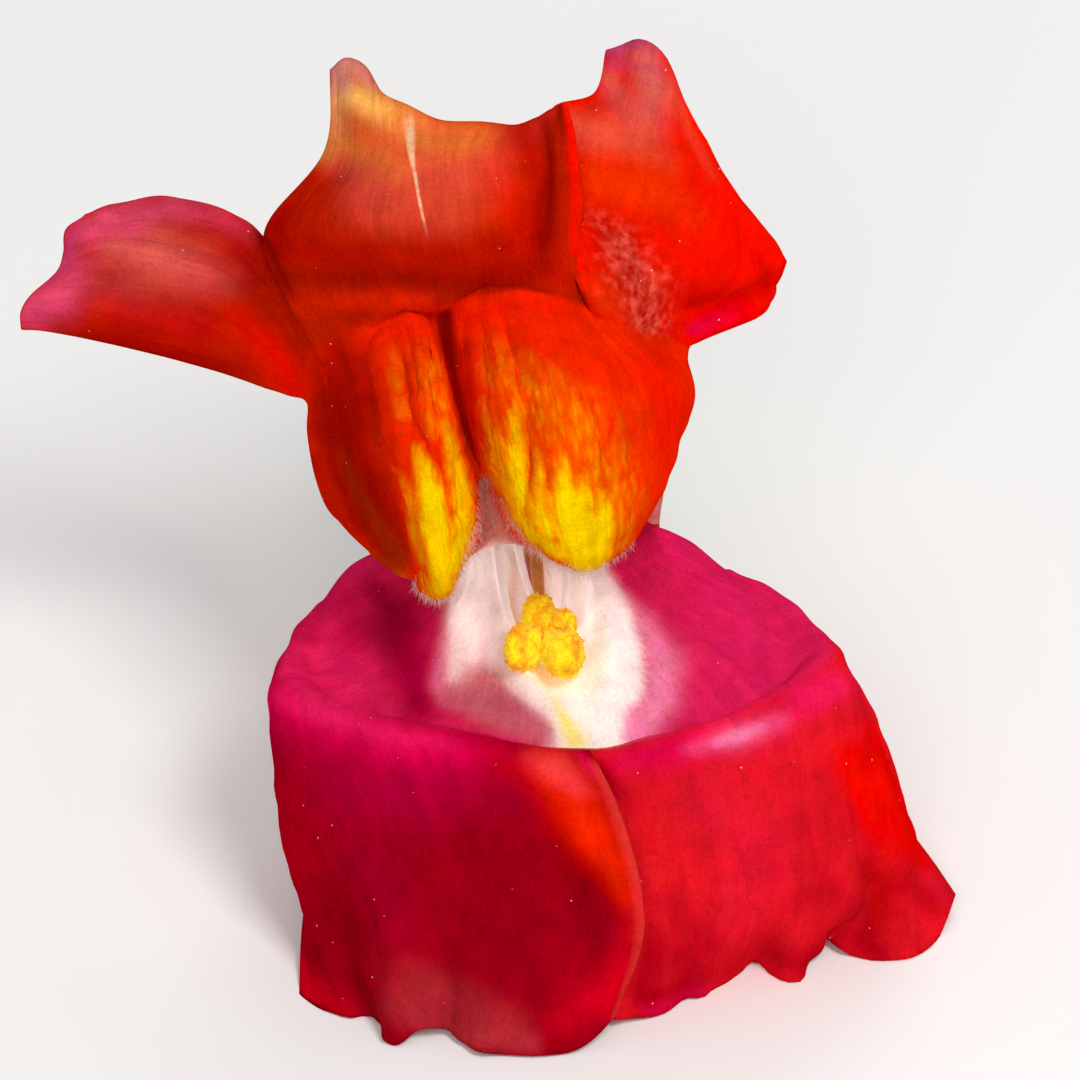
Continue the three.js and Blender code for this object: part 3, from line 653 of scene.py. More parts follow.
# Fine shape on top of the rails: folds and creases drawn as seen from the front, ruffles, palate ridges.
# Rails are numbered along each petal: the tube ends at 4, the bowl is 6 and 7, the palate 6 to 10.
margin = 99  # past the last rail of any petal
folds = [  # petals, first and last rail, then lines: across, up, width and rise of each point
    # palate groove
    ("lowerMiddle", 6.8, 10.5, [
        [(-4.2, 30.5, 0.3, -0.6), (-3.7, 28.7, 0.4, -0.8), (-3.4, 27.2, 0.3, -0.7),
            (-3.1, 26, 0.3, -0.5), (-2.7, 24.7, 0.2, -0.3)],
    ]),
    # edge of the left hump
    ("lower", 6.6, 10.4, [
        [(-7.4, 29.5, 0.3, -0.3), (-7.2, 27.9, 0.3, -0.5), (-6.8, 26, 0.3, -0.8),
            (-6.4, 24.7, 0.3, -0.9), (-5.8, 23.2, 0.3, -1), (-5.4, 22.1, 0.3, -0.9),
            (-5.1, 20.9, 0.3, -0.8), (-5.1, 20, 0.3, -0.5)],
        [(-6.5, 29.5, 0.4, 0.3), (-6.2, 27.2, 0.4, 0.3), (-5.5, 25, 0.4, 0.35), (-4.9, 23.1, 0.5, 0.4),
            (-4.6, 21.2, 0.5, 0.4), (-4.3, 19.8, 0.4, 0.3)],
    ]),
    # furrows of the humps
    ("lowerMiddle", 6.6, 10.3, [
        [(-5.7, 28.9, 0.2, -0.26), (-5.5, 27.2, 0.2, -0.3), (-5.1, 26.1, 0.2, -0.3),
            (-4.6, 25.1, 0.2, -0.28), (-4.1, 24.2, 0.1, -0.24), (-3.8, 23.2, 0.1, -0.16)],
        [(-1.5, 30.4, 0.2, -0.2), (-1.2, 29.5, 0.2, -0.28), (-0.8, 28, 0.2, -0.32),
            (-0.5, 26.5, 0.2, -0.34), (-0.4, 25.1, 0.2, -0.34), (-0.5, 23.9, 0.2, -0.3),
            (-0.7, 22.8, 0.2, -0.2)],
        [(-2.5, 30.2, 0.2, -0.14), (-2.3, 28.5, 0.2, -0.16), (-2, 26.8, 0.2, -0.14)],
        [(-0.2, 30.2, 0.2, -0.16), (0.2, 29, 0.2, -0.22), (0.5, 27, 0.2, -0.24), (0.9, 25.8, 0.2, -0.2),
            (1.1, 24.8, 0.2, -0.12)],
        [(1.2, 29.8, 0.2, -0.12), (1.7, 28.3, 0.2, -0.2), (2.2, 26.8, 0.2, -0.22),
            (2.5, 25.4, 0.2, -0.22), (2.7, 23.9, 0.2, -0.16)],
        [(2.9, 27.7, 0.2, -0.12), (3.4, 26, 0.2, -0.18), (3.6, 24.3, 0.2, -0.16),
            (3.5, 22.9, 0.2, -0.12)],
    ]),
    # crease over the humps
    ("lower", 9, 11.2, [
        [(-7.2, 29.4, 0.2, -0.3), (-6.7, 30.3, 0.2, -0.5), (-5.6, 30.9, 0.2, -0.6),
            (-4.7, 30.8, 0.2, -0.6), (-3.9, 30.5, 0.3, -0.6), (-3.4, 31.2, 0.2, -0.5),
            (-2.1, 31.8, 0.2, -0.5), (-0.7, 31.9, 0.2, -0.4), (0.2, 31.8, 0.2, -0.1)],
    ]),
    # folds of the middle petal
    ("lowerMiddle", 10.2, 12.4, [
        [(-9.6, 31.2, 0.5, 0.15), (-7.1, 31.6, 0.5, 0.25), (-4.6, 31.4, 0.4, 0.2),
            (-1.7, 32.1, 0.4, 0.2), (0.4, 32.2, 0.4, 0.15)],
    ]),
    ("lowerMiddle", 10.2, 13.2, [
        [(-10.8, 33, 0.9, -0.1), (-7.9, 32.7, 1.2, -0.34), (-5.4, 33, 1.4, -0.42),
            (-2.9, 32.8, 1.3, -0.4), (-0.4, 33.6, 1.2, -0.35), (1.1, 34.2, 0.6, -0.15)],
    ]),
    ("lowerMiddle", 10.8, 13.5, [
        [(-10, 34.3, 1, 0.12), (-7.5, 34.7, 1.2, 0.2), (-5, 35, 1.2, 0.24), (-2.1, 35.3, 1.2, 0.2)],
        [(-6.2, 33.7, 0.4, -0.16), (-7, 34.5, 0.4, -0.18), (-7.2, 35.6, 0.4, -0.1)],
    ]),
    # rolled right margin
    ("lowerMiddle", 11, margin, [
        [(1.1, 39.5, 0.2, 0.3), (1.4, 37.7, 0.3, 0.5), (1.5, 35.6, 0.3, 0.5), (1.4, 33.5, 0.3, 0.3)],
    ]),
    ("lowerMiddle", 10.8, margin, [
        [(0.1, 38.8, 0.4, -0.25), (0.4, 36.8, 0.4, -0.5), (0.4, 35, 0.5, -0.5), (0.2, 33.5, 0.4, -0.3)],
    ]),
    # ridge of the horn
    ("lowerMiddle", 11.5, margin, [
        [(-8.2, 41.2, 0.4, 0.25), (-7.7, 39.5, 0.5, 0.35), (-6.8, 37.7, 0.7, 0.25),
            (-5.8, 35.8, 0.8, 0.1)],
    ]),
    # rim of the bowl
    ("upper", 7.2, 8.9, [
        [(-10.4, 15.2, 0.6, 0.15), (-8.3, 14.2, 0.4, 0.2), (-5.8, 13.7, 0.3, 0.26),
            (-3.8, 13.3, 0.3, 0.28), (-0.8, 13.1, 0.3, 0.25), (0.8, 13, 0.2, 0.2),
            (1.9, 12.6, 0.2, 0.05)],
        [(2.2, 12.4, 0.2, 0.05), (4.2, 12.8, 0.3, 0.25), (6.7, 13.5, 0.3, 0.28), (9.2, 14.5, 0.3, 0.28),
            (11, 15.6, 0.3, 0.25), (12.2, 16.6, 0.4, 0.2)],
    ]),
    # turned margin of the left petal
    ("upperLeft", 8.1, margin, [
        [(2.3, 11.9, 0.3, 0.15), (3.1, 10.6, 0.4, 0.26), (3.8, 8.7, 0.4, 0.3), (4.1, 6.6, 0.4, 0.3),
            (3.8, 4.3, 0.4, 0.26), (3, 2.2, 0.4, 0.15)],
    ]),
    ("upperLeft", 8.3, margin, [
        [(0.5, 10.6, 0.9, -0.2), (1.9, 8.5, 1, -0.45), (2.2, 6.4, 1, -0.5), (1.9, 3.9, 1, -0.4),
            (0.8, 1.8, 0.8, -0.2)],
        [(-5.6, 10.6, 1.1, 0.12), (-4.2, 8.1, 1.2, 0.18), (-2.9, 5.2, 1.2, 0.1)],
        [(-8.5, 11.8, 0.8, -0.1), (-7.9, 9.3, 0.8, -0.18), (-7.5, 6.8, 0.8, -0.12)],
    ]),
    # folds of the hem
    ("upperLeft", 8.5, margin, [
        [(-8.8, 6.4, 0.9, -0.3), (-8.1, 4.3, 0.7, -0.5), (-7.5, 1.8, 0.4, -0.5)],
        [(-6, 4.8, 0.7, 0.35), (-5.8, 2.9, 0.5, 0.5), (-6, 0.8, 0.4, 0.5)],
        [(-4.2, 4.3, 0.8, -0.25), (-3.8, 2.2, 0.6, -0.45), (-4, 0.8, 0.4, -0.5)],
        [(-0.8, 3.1, 0.8, 0.2), (-1.7, 1.4, 0.7, 0.35), (-2.5, 0.2, 0.5, 0.4)],
    ]),
    ("upperRight", 8.5, margin, [
        [(12.7, 11.8, 0.8, -0.2), (13.4, 9.8, 0.8, -0.6), (14, 7.7, 0.8, -0.8), (14.2, 5.2, 0.6, -0.5)],
        [(15, 9.3, 0.6, 0.3), (16, 7.2, 0.7, 0.5), (16.9, 5.8, 0.6, 0.4)],
        [(8.3, 8.1, 0.7, -0.15), (8.8, 5.6, 0.6, -0.35), (9, 3.5, 0.4, -0.5)],
        [(10.2, 7.2, 0.6, 0.2), (10.4, 5.2, 0.5, 0.45), (10.4, 3.3, 0.4, 0.5)],
        [(11.7, 7.2, 0.6, -0.15), (12, 5.6, 0.5, -0.4), (12.1, 4.3, 0.3, -0.4)],
        [(6.7, 6.4, 0.7, 0.15), (6.7, 4.3, 0.6, 0.35), (6.6, 2.5, 0.4, 0.4)],
    ]),
    ("upperRight", 8.3, margin, [
        [(5.4, 10.6, 0.8, -0.12), (6.2, 8.5, 0.9, -0.2), (6.7, 6.8, 0.8, -0.1)],
        [(8.5, 11.8, 1, 0.1), (9.8, 9.8, 1.1, 0.2), (10.8, 7.7, 0.8, 0.12)],
    ]),
    # channel under the anthers
    ("upper", 4.2, 7.4, [
        [(0, 20.6, 0.6, -0.6), (0.2, 18.5, 0.7, -1), (0.4, 16.8, 0.7, -1), (0.7, 15.2, 0.5, -0.6)],
    ]),
    ("upper", 4.2, 7.6, [
        [(-2, 20.6, 0.7, 0.5), (-1.8, 18.5, 0.6, 0.6), (-1.5, 16.6, 0.5, 0.6), (-0.3, 14.9, 0.4, 0.6),
            (0.7, 13.8, 0.4, 0.5), (1.5, 12.9, 0.3, 0.3)],
        [(2.1, 20.6, 0.6, 0.5), (2.8, 18.5, 0.6, 0.6), (3, 16.4, 0.6, 0.6), (2.8, 14.3, 0.6, 0.4)],
    ]),
    ("upper", 5.5, 7.8, [
        [(-7, 18.9, 0.6, 0.1), (-6.2, 16.8, 0.7, -0.35), (-5.6, 14.8, 0.6, -0.3)],
    ]),
    # folds of the left wing
    ("lowerLeft", 11.2, margin, [
        [(-19.2, 34.1, 0.6, -0.2), (-17.1, 33.7, 0.8, -0.4), (-14.6, 33, 0.8, -0.4),
            (-12.1, 31.4, 0.6, -0.25)],
        [(-20.6, 31.2, 0.5, 0.2), (-17.9, 30.8, 0.7, 0.35), (-14.6, 30, 0.7, 0.35),
            (-11.2, 28.4, 0.5, 0.2)],
        [(-17.5, 35.4, 0.4, 0.25), (-15, 35.4, 0.5, 0.3), (-12.9, 34.5, 0.4, 0.25)],
    ]),
    # folds of the right wing
    ("lowerRight", 11.2, margin, [
        [(3, 39.5, 0.4, -0.35), (3.3, 38.5, 0.6, -0.3), (4.2, 36.8, 0.8, -0.25), (6.2, 34.8, 1, -0.3),
            (8.3, 33.3, 0.7, -0.2)],
        [(4.2, 41.4, 0.4, 0.3), (5, 39.3, 0.6, 0.3), (6.2, 36.8, 0.6, 0.25), (7.9, 35, 0.5, 0.3),
            (9.6, 33, 0.5, 0.4)],
    ]),
    ("lowerRight", 9.6, 12.6, [
        [(1.5, 33, 0.4, 0.12), (1.9, 32, 0.4, 0.35), (2.4, 31.2, 0.4, 0.25)],
    ]),
    ("lowerRight", 11.2, margin, [
        [(9.6, 32.2, 0.4, -0.3), (7.9, 31.4, 0.5, -0.5), (6.2, 30.7, 0.4, -0.4)],
    ]),
]
ripples = {
    # height, size and seed; the margin's ruffles are the sum of two
    "ruffles": [(0.12, 3.2, 3), (0.08, 1.5, 4)],
    "ruffleRails": 1.4,
    "swell": (0.12, 6.5, 5),
    "pucker": (0.05, 1.7, 6),
    "ridge": (0.08, 2.6, 8),
    "lump": (0.07, 0.85, 9),
    "ridgeStretch": (58, 1.3),
    "palate": (6.7, 7.4, 9.4, 10.2),
    "foldEnd": 0.25,
}


def brush(x, h, line, hard=1):  # strength of a stroke whose width and pressure change along it
    best = np.full(x.shape, 1e9)
    value = np.zeros(x.shape)
    for (ax, ah, aw, ap), (bx, bh, bw, bp) in zip(line, line[1:]):
        t = ((x - ax) * (bx - ax) + (h - ah) * (bh - ah)) / ((bx - ax) ** 2 + (bh - ah) ** 2)
        t = np.clip(t, 0, 1)
        away = ((x - ax - t * (bx - ax)) ** 2 + (h - ah - t * (bh - ah)) ** 2) / (aw + t * (bw - aw)) ** 2
        near = away < best
        best = np.where(near, away, best)
        value = np.where(near, (ap + t * (bp - ap)) * np.exp(-(away**hard)), value)
    return value


def fineShape(name, grid, rail, shared):
    u, v = np.meshgrid(np.linspace(0, 1, grid.shape[1]), rail)
    x, h = asSeen(grid)
    runAcross = (u - 0.5) * np.linalg.norm(grid[-1, -1] - grid[-1, 0])

    def waves(kind, a, b):
        height, size, seed = ripples[kind] if isinstance(kind, str) else kind
        return height * softNoise(a, b, size, seed)

    coarse, small = ripples["ruffles"]
    lift = waves(coarse, runAcross + 40, v * 0.8) + waves(small, runAcross, v + 11)
    lift = lift * smoothStep(rail[-1] - ripples["ruffleRails"], rail[-1], v)
    inner = smoothStep(0, 0.15, u) * smoothStep(0, 0.15, 1 - u)
    lift = lift + smoothStep(5, 6.5, v) * inner * waves("swell", x, h)
    lift = lift + smoothStep(7, 8, v) * inner * waves("pucker", x, h)
    for petals, fromRail, toRail, lines in folds:
        if name.startswith(petals):
            inside = softWindow(v, fromRail, toRail, ripples["foldEnd"])
            for line in lines:
                lift = lift - brush(x, h, line) * inside
    if name == "lowerMiddle":
        stretchU, stretchV = ripples["ridgeStretch"]
        relief = waves("ridge", u * stretchU, v * stretchV) + waves("lump", x, h)
        lift = lift - window(v, *ripples["palate"]) * relief
    # neighbours meet here, so nothing moves next to a shared edge
    hold = smoothStep(0, 1, v)
    for fromEdge, last in zip((u, 1 - u), shared):
        hold = hold * (1 - (1 - smoothStep(0, 0.1, fromEdge)) * (1 - smoothStep(last, last + 0.5, v)))
    return grid + gridNormals(grid) * (lift * hold)[..., None]


# The colours of the petals, and much painted shade and painted highlight, laid on in soft strokes as seen
# from the front.
paints = {
    "crimson": "#a2041a", "garnet": "#84020e", "ruby": "#c0081e", "scarlet": "#e00e22",
    "flame": "#fa2a0a", "rose": "#e81854", "blush": "#fd5c92", "hotPink": "#fa2c6a",
    "raspberry": "#dc1a4e", "plum": "#a80838", "magenta": "#cc1650", "salmon": "#c64248",
    "brick": "#800402", "rust": "#b03c06", "vermilion": "#f62804", "redOrange": "#fa3c0a",
    "coral": "#f25c42", "orange": "#fa7838", "apricot": "#fcc060", "shell": "#dc8a7c",
    "ivory": "#fdf4ee", "cream": "#fbe676", "dustyRose": "#d0687a", "orchid": "#ff90bc",
    "brightRed": "#f8180e", "paleCoral": "#e2665e", "mauve": "#c2406e", "tubeIvory": "#f6ece4",
    "marginHighlight": "#fa4a46", "ember": "#b40a06", "peach": "#ec9a60", "warmRed": "#c6240e",
    "deepRed": "#a40608", "tissuePink": "#d87a70", "paleBlush": "#f0c4bc", "cheek": "#a40a02",
    "bowlPink": "#e02860", "blushRed": "#fa4c52", "roseHaze": "#d8486c", "beige": "#dcb8a4",
    "petalPink": "#ff8cba", "paleLilac": "#fdeef8", "skirtRed": "#e4222c", "skirtRose": "#e6243c",
    "wingPink": "#f0526e", "petalRed": "#d42c28", "ochre": "#dc8438",
}
# What lies under the strokes, then the strokes: paint, line of across, up, width and strength of each
# point, and hardness where it isn't 1.
basePaints = {
    "leftSkirt": "crimson",
    "rightSkirt": "skirtRed",
    "bowl": "bowlPink",
    "tube": "tubeIvory",
    "palate": "vermilion",
    "underPalate": "tissuePink",
    "middlePetal": "warmRed",
    "leftWing": "warmRed",
    "rightWing": "brightRed",
}
strokes = {region: [] for region in basePaints}
strokes["leftSkirt"] = [
    # painted highlight: rose and hot pink along the rim where it faces the light
    ("rose", [(-11.3, 14.8, 1.2, 0.5), (-10, 12.2, 1, 0.15)]),
    ("rose", [(-10.6, 14.8, 1, 0.95), (-8.8, 13.7, 1, 0.95), (-5.8, 12.7, 1.1, 0.9),
        (-3.8, 12.4, 0.9, 0.8), (-1.7, 12.4, 0.7, 0.45)]),
    ("hotPink", [(-10.6, 14.9, 0.5, 0.5), (-8.8, 14.1, 0.5, 0.8), (-6.2, 13.2, 0.5, 0.6),
        (-3.8, 12.9, 0.4, 0.4)]),
    ("magenta", [(-7.9, 11.2, 1.5, 0.42), (-4.6, 10.9, 1.5, 0.45), (-1.7, 10.9, 1.1, 0.25)]),
    ("ruby", [(-10.6, 11.4, 0.7, 0.7), (-10, 8.1, 0.8, 0.8), (-9.8, 5.2, 0.7, 0.5)]),
    ("ruby", [(-1.7, 12, 0.8, 0.8), (0.2, 11.6, 0.8, 0.9)]),
    ("magenta", [(-6.9, 7.7, 1.2, 0.14), (-6, 5.6, 1.1, 0.12)]),
    ("brightRed", [(-11.5, 10.6, 0.4, 0.4), (-11.1, 8.1, 0.5, 0.5), (-10.7, 5.6, 0.5, 0.4)]),
    # painted shade in the broad hollow of the petal
    ("garnet", [(-2.9, 8.9, 1.7, 0.35), (-0.8, 7.2, 2.1, 0.5), (-0.8, 4.8, 1.7, 0.35)]),
    ("garnet", [(-8.3, 7.2, 1.1, 0.4), (-7.9, 5.2, 1.1, 0.4)]),
    # painted shade in the hollow beside the turned margin
    ("garnet", [(1.1, 8.7, 0.7, 0.6), (1.8, 6.8, 0.8, 0.75), (2.2, 5.2, 0.8, 0.7),
        (2.5, 3.9, 0.6, 0.4)]),
    # partly the margin's own orange-red, partly painted light where it turns up towards the light
    ("flame", [(0.2, 11.9, 0.9, 0.7), (1.2, 10.9, 1.1, 0.9), (2.2, 9.3, 1.1, 1), (3.2, 7.8, 0.8, 1),
        (3.8, 6.2, 0.5, 0.85), (3.9, 4.8, 0.3, 0.5)]),
    ("blushRed", [(-0.3, 12.2, 0.5, 0.4), (0.7, 11.8, 0.6, 0.7), (1.7, 10.9, 0.4, 0.5)]),
    ("rose", [(1.8, 12.3, 0.2, 0.6), (2.1, 11.6, 0.2, 0.5)]),
    ("ruby", [(3.8, 5.8, 0.5, 0.7), (3.5, 4.5, 0.6, 0.85)]),
    ("scarlet", [(3.3, 3.7, 0.6, 0.85), (2.7, 2.2, 0.6, 0.8)]),
    ("scarlet", [(2.1, 2.2, 0.9, 0.6), (0.8, 1.4, 0.8, 0.5)]),
    ("salmon", [(-6.3, 3.9, 1.1, 0.08), (-5.2, 2.9, 1.1, 0.38), (-3.2, 2, 1.1, 0.42),
        (-1, 1.2, 0.8, 0.3)]),
    ("salmon", [(-6, 1.8, 0.8, 0.3), (-3.5, 0.8, 0.6, 0.5), (-0.4, 0.4, 0.5, 0.45)]),
    ("scarlet", [(-10.4, 4.3, 0.5, 0.5), (-9.6, 2.7, 0.6, 0.7), (-8.1, 1.9, 0.5, 0.5)]),
]
strokes["rightSkirt"] = [
    # painted highlight: rose, blush and pink along the rim where it catches the light
    ("rose", [(3.3, 12.1, 0.5, 0.7), (5.8, 12.7, 0.8, 0.8), (9.2, 13.5, 0.9, 0.6),
        (11.7, 15.2, 0.7, 0.5)]),
    ("blush", [(6.2, 12.6, 0.3, 0.4), (8.1, 13.1, 0.5, 0.95), (10, 13.8, 0.4, 0.55)]),
    ("petalPink", [(7.2, 12.8, 0.2, 0.4), (8.2, 13.1, 0.3, 0.8), (9.2, 13.5, 0.2, 0.4)]),
    ("hotPink", [(10.8, 14.8, 0.7, 0.5), (12.3, 15.2, 0.6, 0.6)]),
    ("brightRed", [(12.9, 12.2, 0.9, 0.9), (13.8, 9.8, 0.8, 0.9), (14.6, 8.5, 0.7, 0.5)]),
    ("brightRed", [(13.6, 13.5, 0.4, 0.6), (14.3, 11.2, 0.5, 0.9), (15.1, 9.2, 0.5, 0.9),
        (15.9, 7.9, 0.4, 0.6)]),
    ("skirtRose", [(6.7, 10.6, 1.2, 0.6), (9.2, 8.9, 1.5, 0.6), (8.3, 6, 1.2, 0.5)]),
    ("crimson", [(5, 4.3, 1, 0.5), (6.2, 3.9, 1.1, 0.5), (6.2, 2.9, 0.8, 0.5)]),
    # painted shadow at the notch beside the left petal's overlapping margin
    ("crimson", [(2.5, 12, 0.4, 0.8), (3.2, 11.1, 0.4, 0.6), (3.8, 10, 0.3, 0.2)]),
    # painted shade beside the overlapping margin
    ("crimson", [(4.7, 5.2, 0.4, 0.35), (4.6, 3.9, 0.5, 0.6), (4.2, 2.7, 0.6, 0.6)]),
    # painted shade in the fold by the right edge
    ("ember", [(13.7, 7.7, 0.6, 0.5), (14.3, 6.8, 0.7, 0.7), (13.8, 5.2, 0.6, 0.6)]),
    ("crimson", [(4.6, 2.2, 0.6, 0.8), (6.2, 2.9, 0.5, 0.4)]),
    ("crimson", [(9.8, 4.3, 0.8, 0.5), (10.8, 3.7, 0.6, 0.6), (12.9, 4.8, 0.8, 0.6),
        (14.2, 4.1, 0.5, 0.8)]),
    ("ruby", [(15.2, 7, 0.6, 0.35), (16.5, 6.2, 0.7, 0.4)]),
    ("crimson", [(10.6, 6.2, 0.6, 0.25), (11.9, 7, 0.7, 0.4), (12.9, 6.2, 0.6, 0.35)]),
    ("crimson", [(5.3, 6.4, 0.6, 0.25), (6.7, 5, 0.8, 0.35), (8.1, 3.9, 0.6, 0.25)]),
    ("skirtRose", [(16.8, 6.5, 0.3, 0.7), (16.2, 7.2, 0.2, 0.5)]),
    ("rose", [(4.6, 1.8, 0.3, 0.5), (6.7, 2.7, 0.3, 0.5)]),
]
strokes["bowl"] = [
    # painted highlight on the rim where it faces the light
    ("hotPink", [(-8.1, 19.5, 0.7, 0.2), (-10, 15.2, 0.8, 0.5), (-7.9, 14.5, 0.7, 0.6)]),
    ("plum", [(-8.8, 18.9, 0.7, 0.3), (-9.8, 17.4, 0.7, 0.4)]),
    # painted shade in the valley beside the white throat
    ("plum", [(-7, 19.3, 0.5, 0.7), (-5.9, 18.1, 1.1, 0.95), (-5.4, 16, 1.2, 0.95),
        (-5, 14.2, 0.8, 0.85)]),
    ("raspberry", [(-8.1, 18.9, 0.6, 0.6), (-7.8, 17.2, 0.7, 0.6)]),
    ("ivory", [(-0.4, 24.3, 2.6, 1), (-1, 21.4, 2.4, 1), (-0.4, 18.9, 2.7, 1), (0.2, 16.8, 2.8, 1),
        (2, 14.8, 2.1, 1), (2.2, 12.9, 1.8, 1)], 3),
    ("ivory", [(-2.9, 20.6, 0.9, 0.9), (-3.2, 18.1, 0.8, 0.9), (-3.2, 15.6, 0.8, 0.8)], 2),
    ("paleLilac", [(2.3, 18.4, 0.8, 0.6), (3.2, 16.8, 0.9, 0.9), (3.6, 15.2, 0.8, 0.9)], 3),
    # painted shadow in the hollow below the left white ridge
    ("dustyRose", [(-3.8, 14.8, 0.6, 0.85), (-2.5, 14.7, 1, 1), (-1.2, 14, 0.9, 1),
        (0, 13.3, 0.6, 0.9)], 2),
    ("dustyRose", [(-2.9, 15.6, 0.6, 0.6), (-1.8, 15.4, 0.5, 0.7)]),
    # painted shade on the right inner wall and along the edges of the channel
    ("paleBlush", [(1.5, 19.8, 0.5, 0.5), (2.1, 18.1, 0.7, 0.45), (2.5, 16.4, 0.7, 0.3)]),
    ("beige", [(-1.1, 20.6, 0.2, 0.5), (-1.3, 18.7, 0.3, 0.6), (-1.1, 17, 0.3, 0.6),
        (-0.2, 15.8, 0.3, 0.5), (0.8, 15.2, 0.2, 0.3)]),
    ("beige", [(1.8, 20, 0.4, 0.5), (2.3, 18.9, 0.3, 0.7), (2.5, 17.2, 0.3, 0.6),
        (2.2, 16.1, 0.2, 0.4)]),
    # painted shadow streak deep in the throat
    ("peach", [(-0.7, 21.2, 0.3, 0.6), (-0.4, 20.2, 0.4, 0.8), (-0.1, 18.9, 0.3, 0.6)]),
    ("rust", [(-0.5, 20.8, 0.2, 0.5), (-0.3, 19.7, 0.2, 0.7), (-0.1, 18.8, 0.3, 0.6)]),
    ("ivory", [(-1.5, 16.8, 0.4, 0.6), (-0.3, 15.6, 0.3, 0.9), (0.8, 14.8, 0.3, 0.9),
        (1.9, 13.8, 0.4, 0.9)]),
    ("cream", [(0.6, 14.6, 0.2, 0.5), (1, 13.8, 0.3, 1), (1.5, 12.9, 0.5, 1)]),
    ("orchid", [(3.7, 18.9, 0.3, 0.4), (4.4, 17.8, 0.5, 0.8), (5.1, 16.2, 0.8, 0.95),
        (4.9, 14.7, 0.8, 1), (4.2, 13.3, 0.6, 1)]),
    ("ivory", [(2.1, 19.3, 1.1, 0.9), (2.7, 18.1, 1.2, 0.95), (3.1, 16.6, 1.2, 1),
        (3.2, 15.2, 1.1, 1)], 3),
    ("orchid", [(3.9, 14.1, 0.4, 0.8), (3.8, 13.1, 0.4, 0.9)], 2),
    ("orchid", [(-4, 17.2, 0.3, 0.4), (-4.3, 15.2, 0.3, 0.5)]),
]
strokes["palate"] = [
    # the left cheek: partly the palate's own dark red, partly painted shade on the side turned from the
    # light
    ("ember", [(-8.5, 29.8, 0.8, 0.8), (-8.8, 28.1, 0.8, 0.7), (-8.9, 26, 0.7, 0.6)]),
    ("brightRed", [(-10.1, 29.5, 0.5, 0.7), (-9.7, 28.1, 0.4, 0.6)]),
    # partly the cheek's own dark red, partly painted shade
    ("cheek", [(-7.9, 28.7, 0.8, 0.7), (-7.9, 26.8, 1.2, 0.95), (-7.9, 25, 1.2, 0.95),
        (-7, 22.9, 1.2, 0.95), (-5.9, 21, 0.8, 0.95)], 2),
    ("ember", [(-9.3, 24.8, 0.3, 0.7), (-8.8, 23.1, 0.3, 0.6), (-7.8, 21.8, 0.3, 0.5)]),
    ("rust", [(-8.1, 25, 0.3, 0.2), (-7.4, 23.3, 0.3, 0.35), (-6.3, 21.6, 0.4, 0.4),
        (-5.7, 20.6, 0.4, 0.6)]),
    ("rust", [(-7, 20.9, 0.2, 0.8), (-5.8, 20, 0.3, 0.9), (-4.8, 19.2, 0.2, 0.9)]),
    ("orange", [(-5.7, 20, 0.2, 0.5), (-5, 19.5, 0.2, 0.6)]),
    # painted shade in the groove between the humps
    ("brick", [(-3.9, 30.8, 0.4, 0.9), (-3.8, 29.3, 0.5, 1), (-3.5, 27.5, 0.5, 1), (-3.1, 26, 0.3, 1),
        (-2.6, 24.7, 0.2, 0.8)], 2),
    # painted shade on the groove's left wall
    ("rust", [(-3.9, 26.8, 0.2, 0.5), (-3.4, 25.6, 0.2, 0.7), (-3, 24.5, 0.2, 0.8),
        (-2.7, 23.6, 0.2, 0.6)]),
    ("rust", [(-6.8, 26.2, 0.2, 0.35), (-6.4, 25, 0.2, 0.35), (-5.9, 23.5, 0.2, 0.4)]),
    ("brightRed", [(4.6, 28.1, 1, 0.7), (5.4, 26.8, 0.8, 0.8), (4.6, 24.8, 0.8, 0.5)]),
    ("redOrange", [(3.8, 27.2, 0.5, 0.5), (4.2, 24.3, 0.6, 0.6), (3.8, 22.5, 0.5, 0.7)]),
    # painted shade in the crease over the humps
    ("deepRed", [(-10, 31.2, 0.4, 0.4), (-7.5, 30.7, 0.3, 0.5), (-5.8, 31.1, 0.2, 0.5)]),
    ("deepRed", [(-2.9, 32.2, 0.3, 0.4), (-0.8, 32.4, 0.4, 0.5), (1, 32.1, 0.4, 0.5),
        (2.5, 31.6, 0.3, 0.3)]),
    ("brightRed", [(-2.9, 30.6, 0.4, 0.5), (-0.8, 31.3, 0.4, 0.5), (0.8, 31, 0.4, 0.4)]),
    # painted shade on the groove's left wall
    ("deepRed", [(-2.9, 29.5, 0.2, 0.5), (-2.8, 27.9, 0.2, 0.45), (-2.6, 26.2, 0.2, 0.35)]),
    ("brightRed", [(-6.3, 29.8, 0.4, 0.5), (-5.3, 30.1, 0.4, 0.6)]),
    ("redOrange", [(-6, 29.2, 0.5, 0.5), (-5.7, 28.1, 0.5, 0.5), (-5.5, 26.4, 0.5, 0.5)]),
    ("tissuePink", [(-2.5, 23.9, 0.2, 0.9), (-2.3, 23.1, 0.5, 1), (-2, 22, 0.9, 1),
        (-1.7, 21.1, 1.2, 1)], 3),
]
strokes["underPalate"] = [
    ("paleBlush", [(-3.3, 21.4, 0.7, 0.6), (-1.9, 21.6, 0.8, 0.7), (-0.2, 21.1, 0.8, 0.8),
        (1.5, 20, 0.7, 0.8)]),
    ("ivory", [(-3.4, 20.6, 0.5, 0.7), (-2.1, 20.8, 0.6, 0.9), (-0.4, 20.3, 0.6, 0.9),
        (1, 19.5, 0.6, 0.8)]),
]
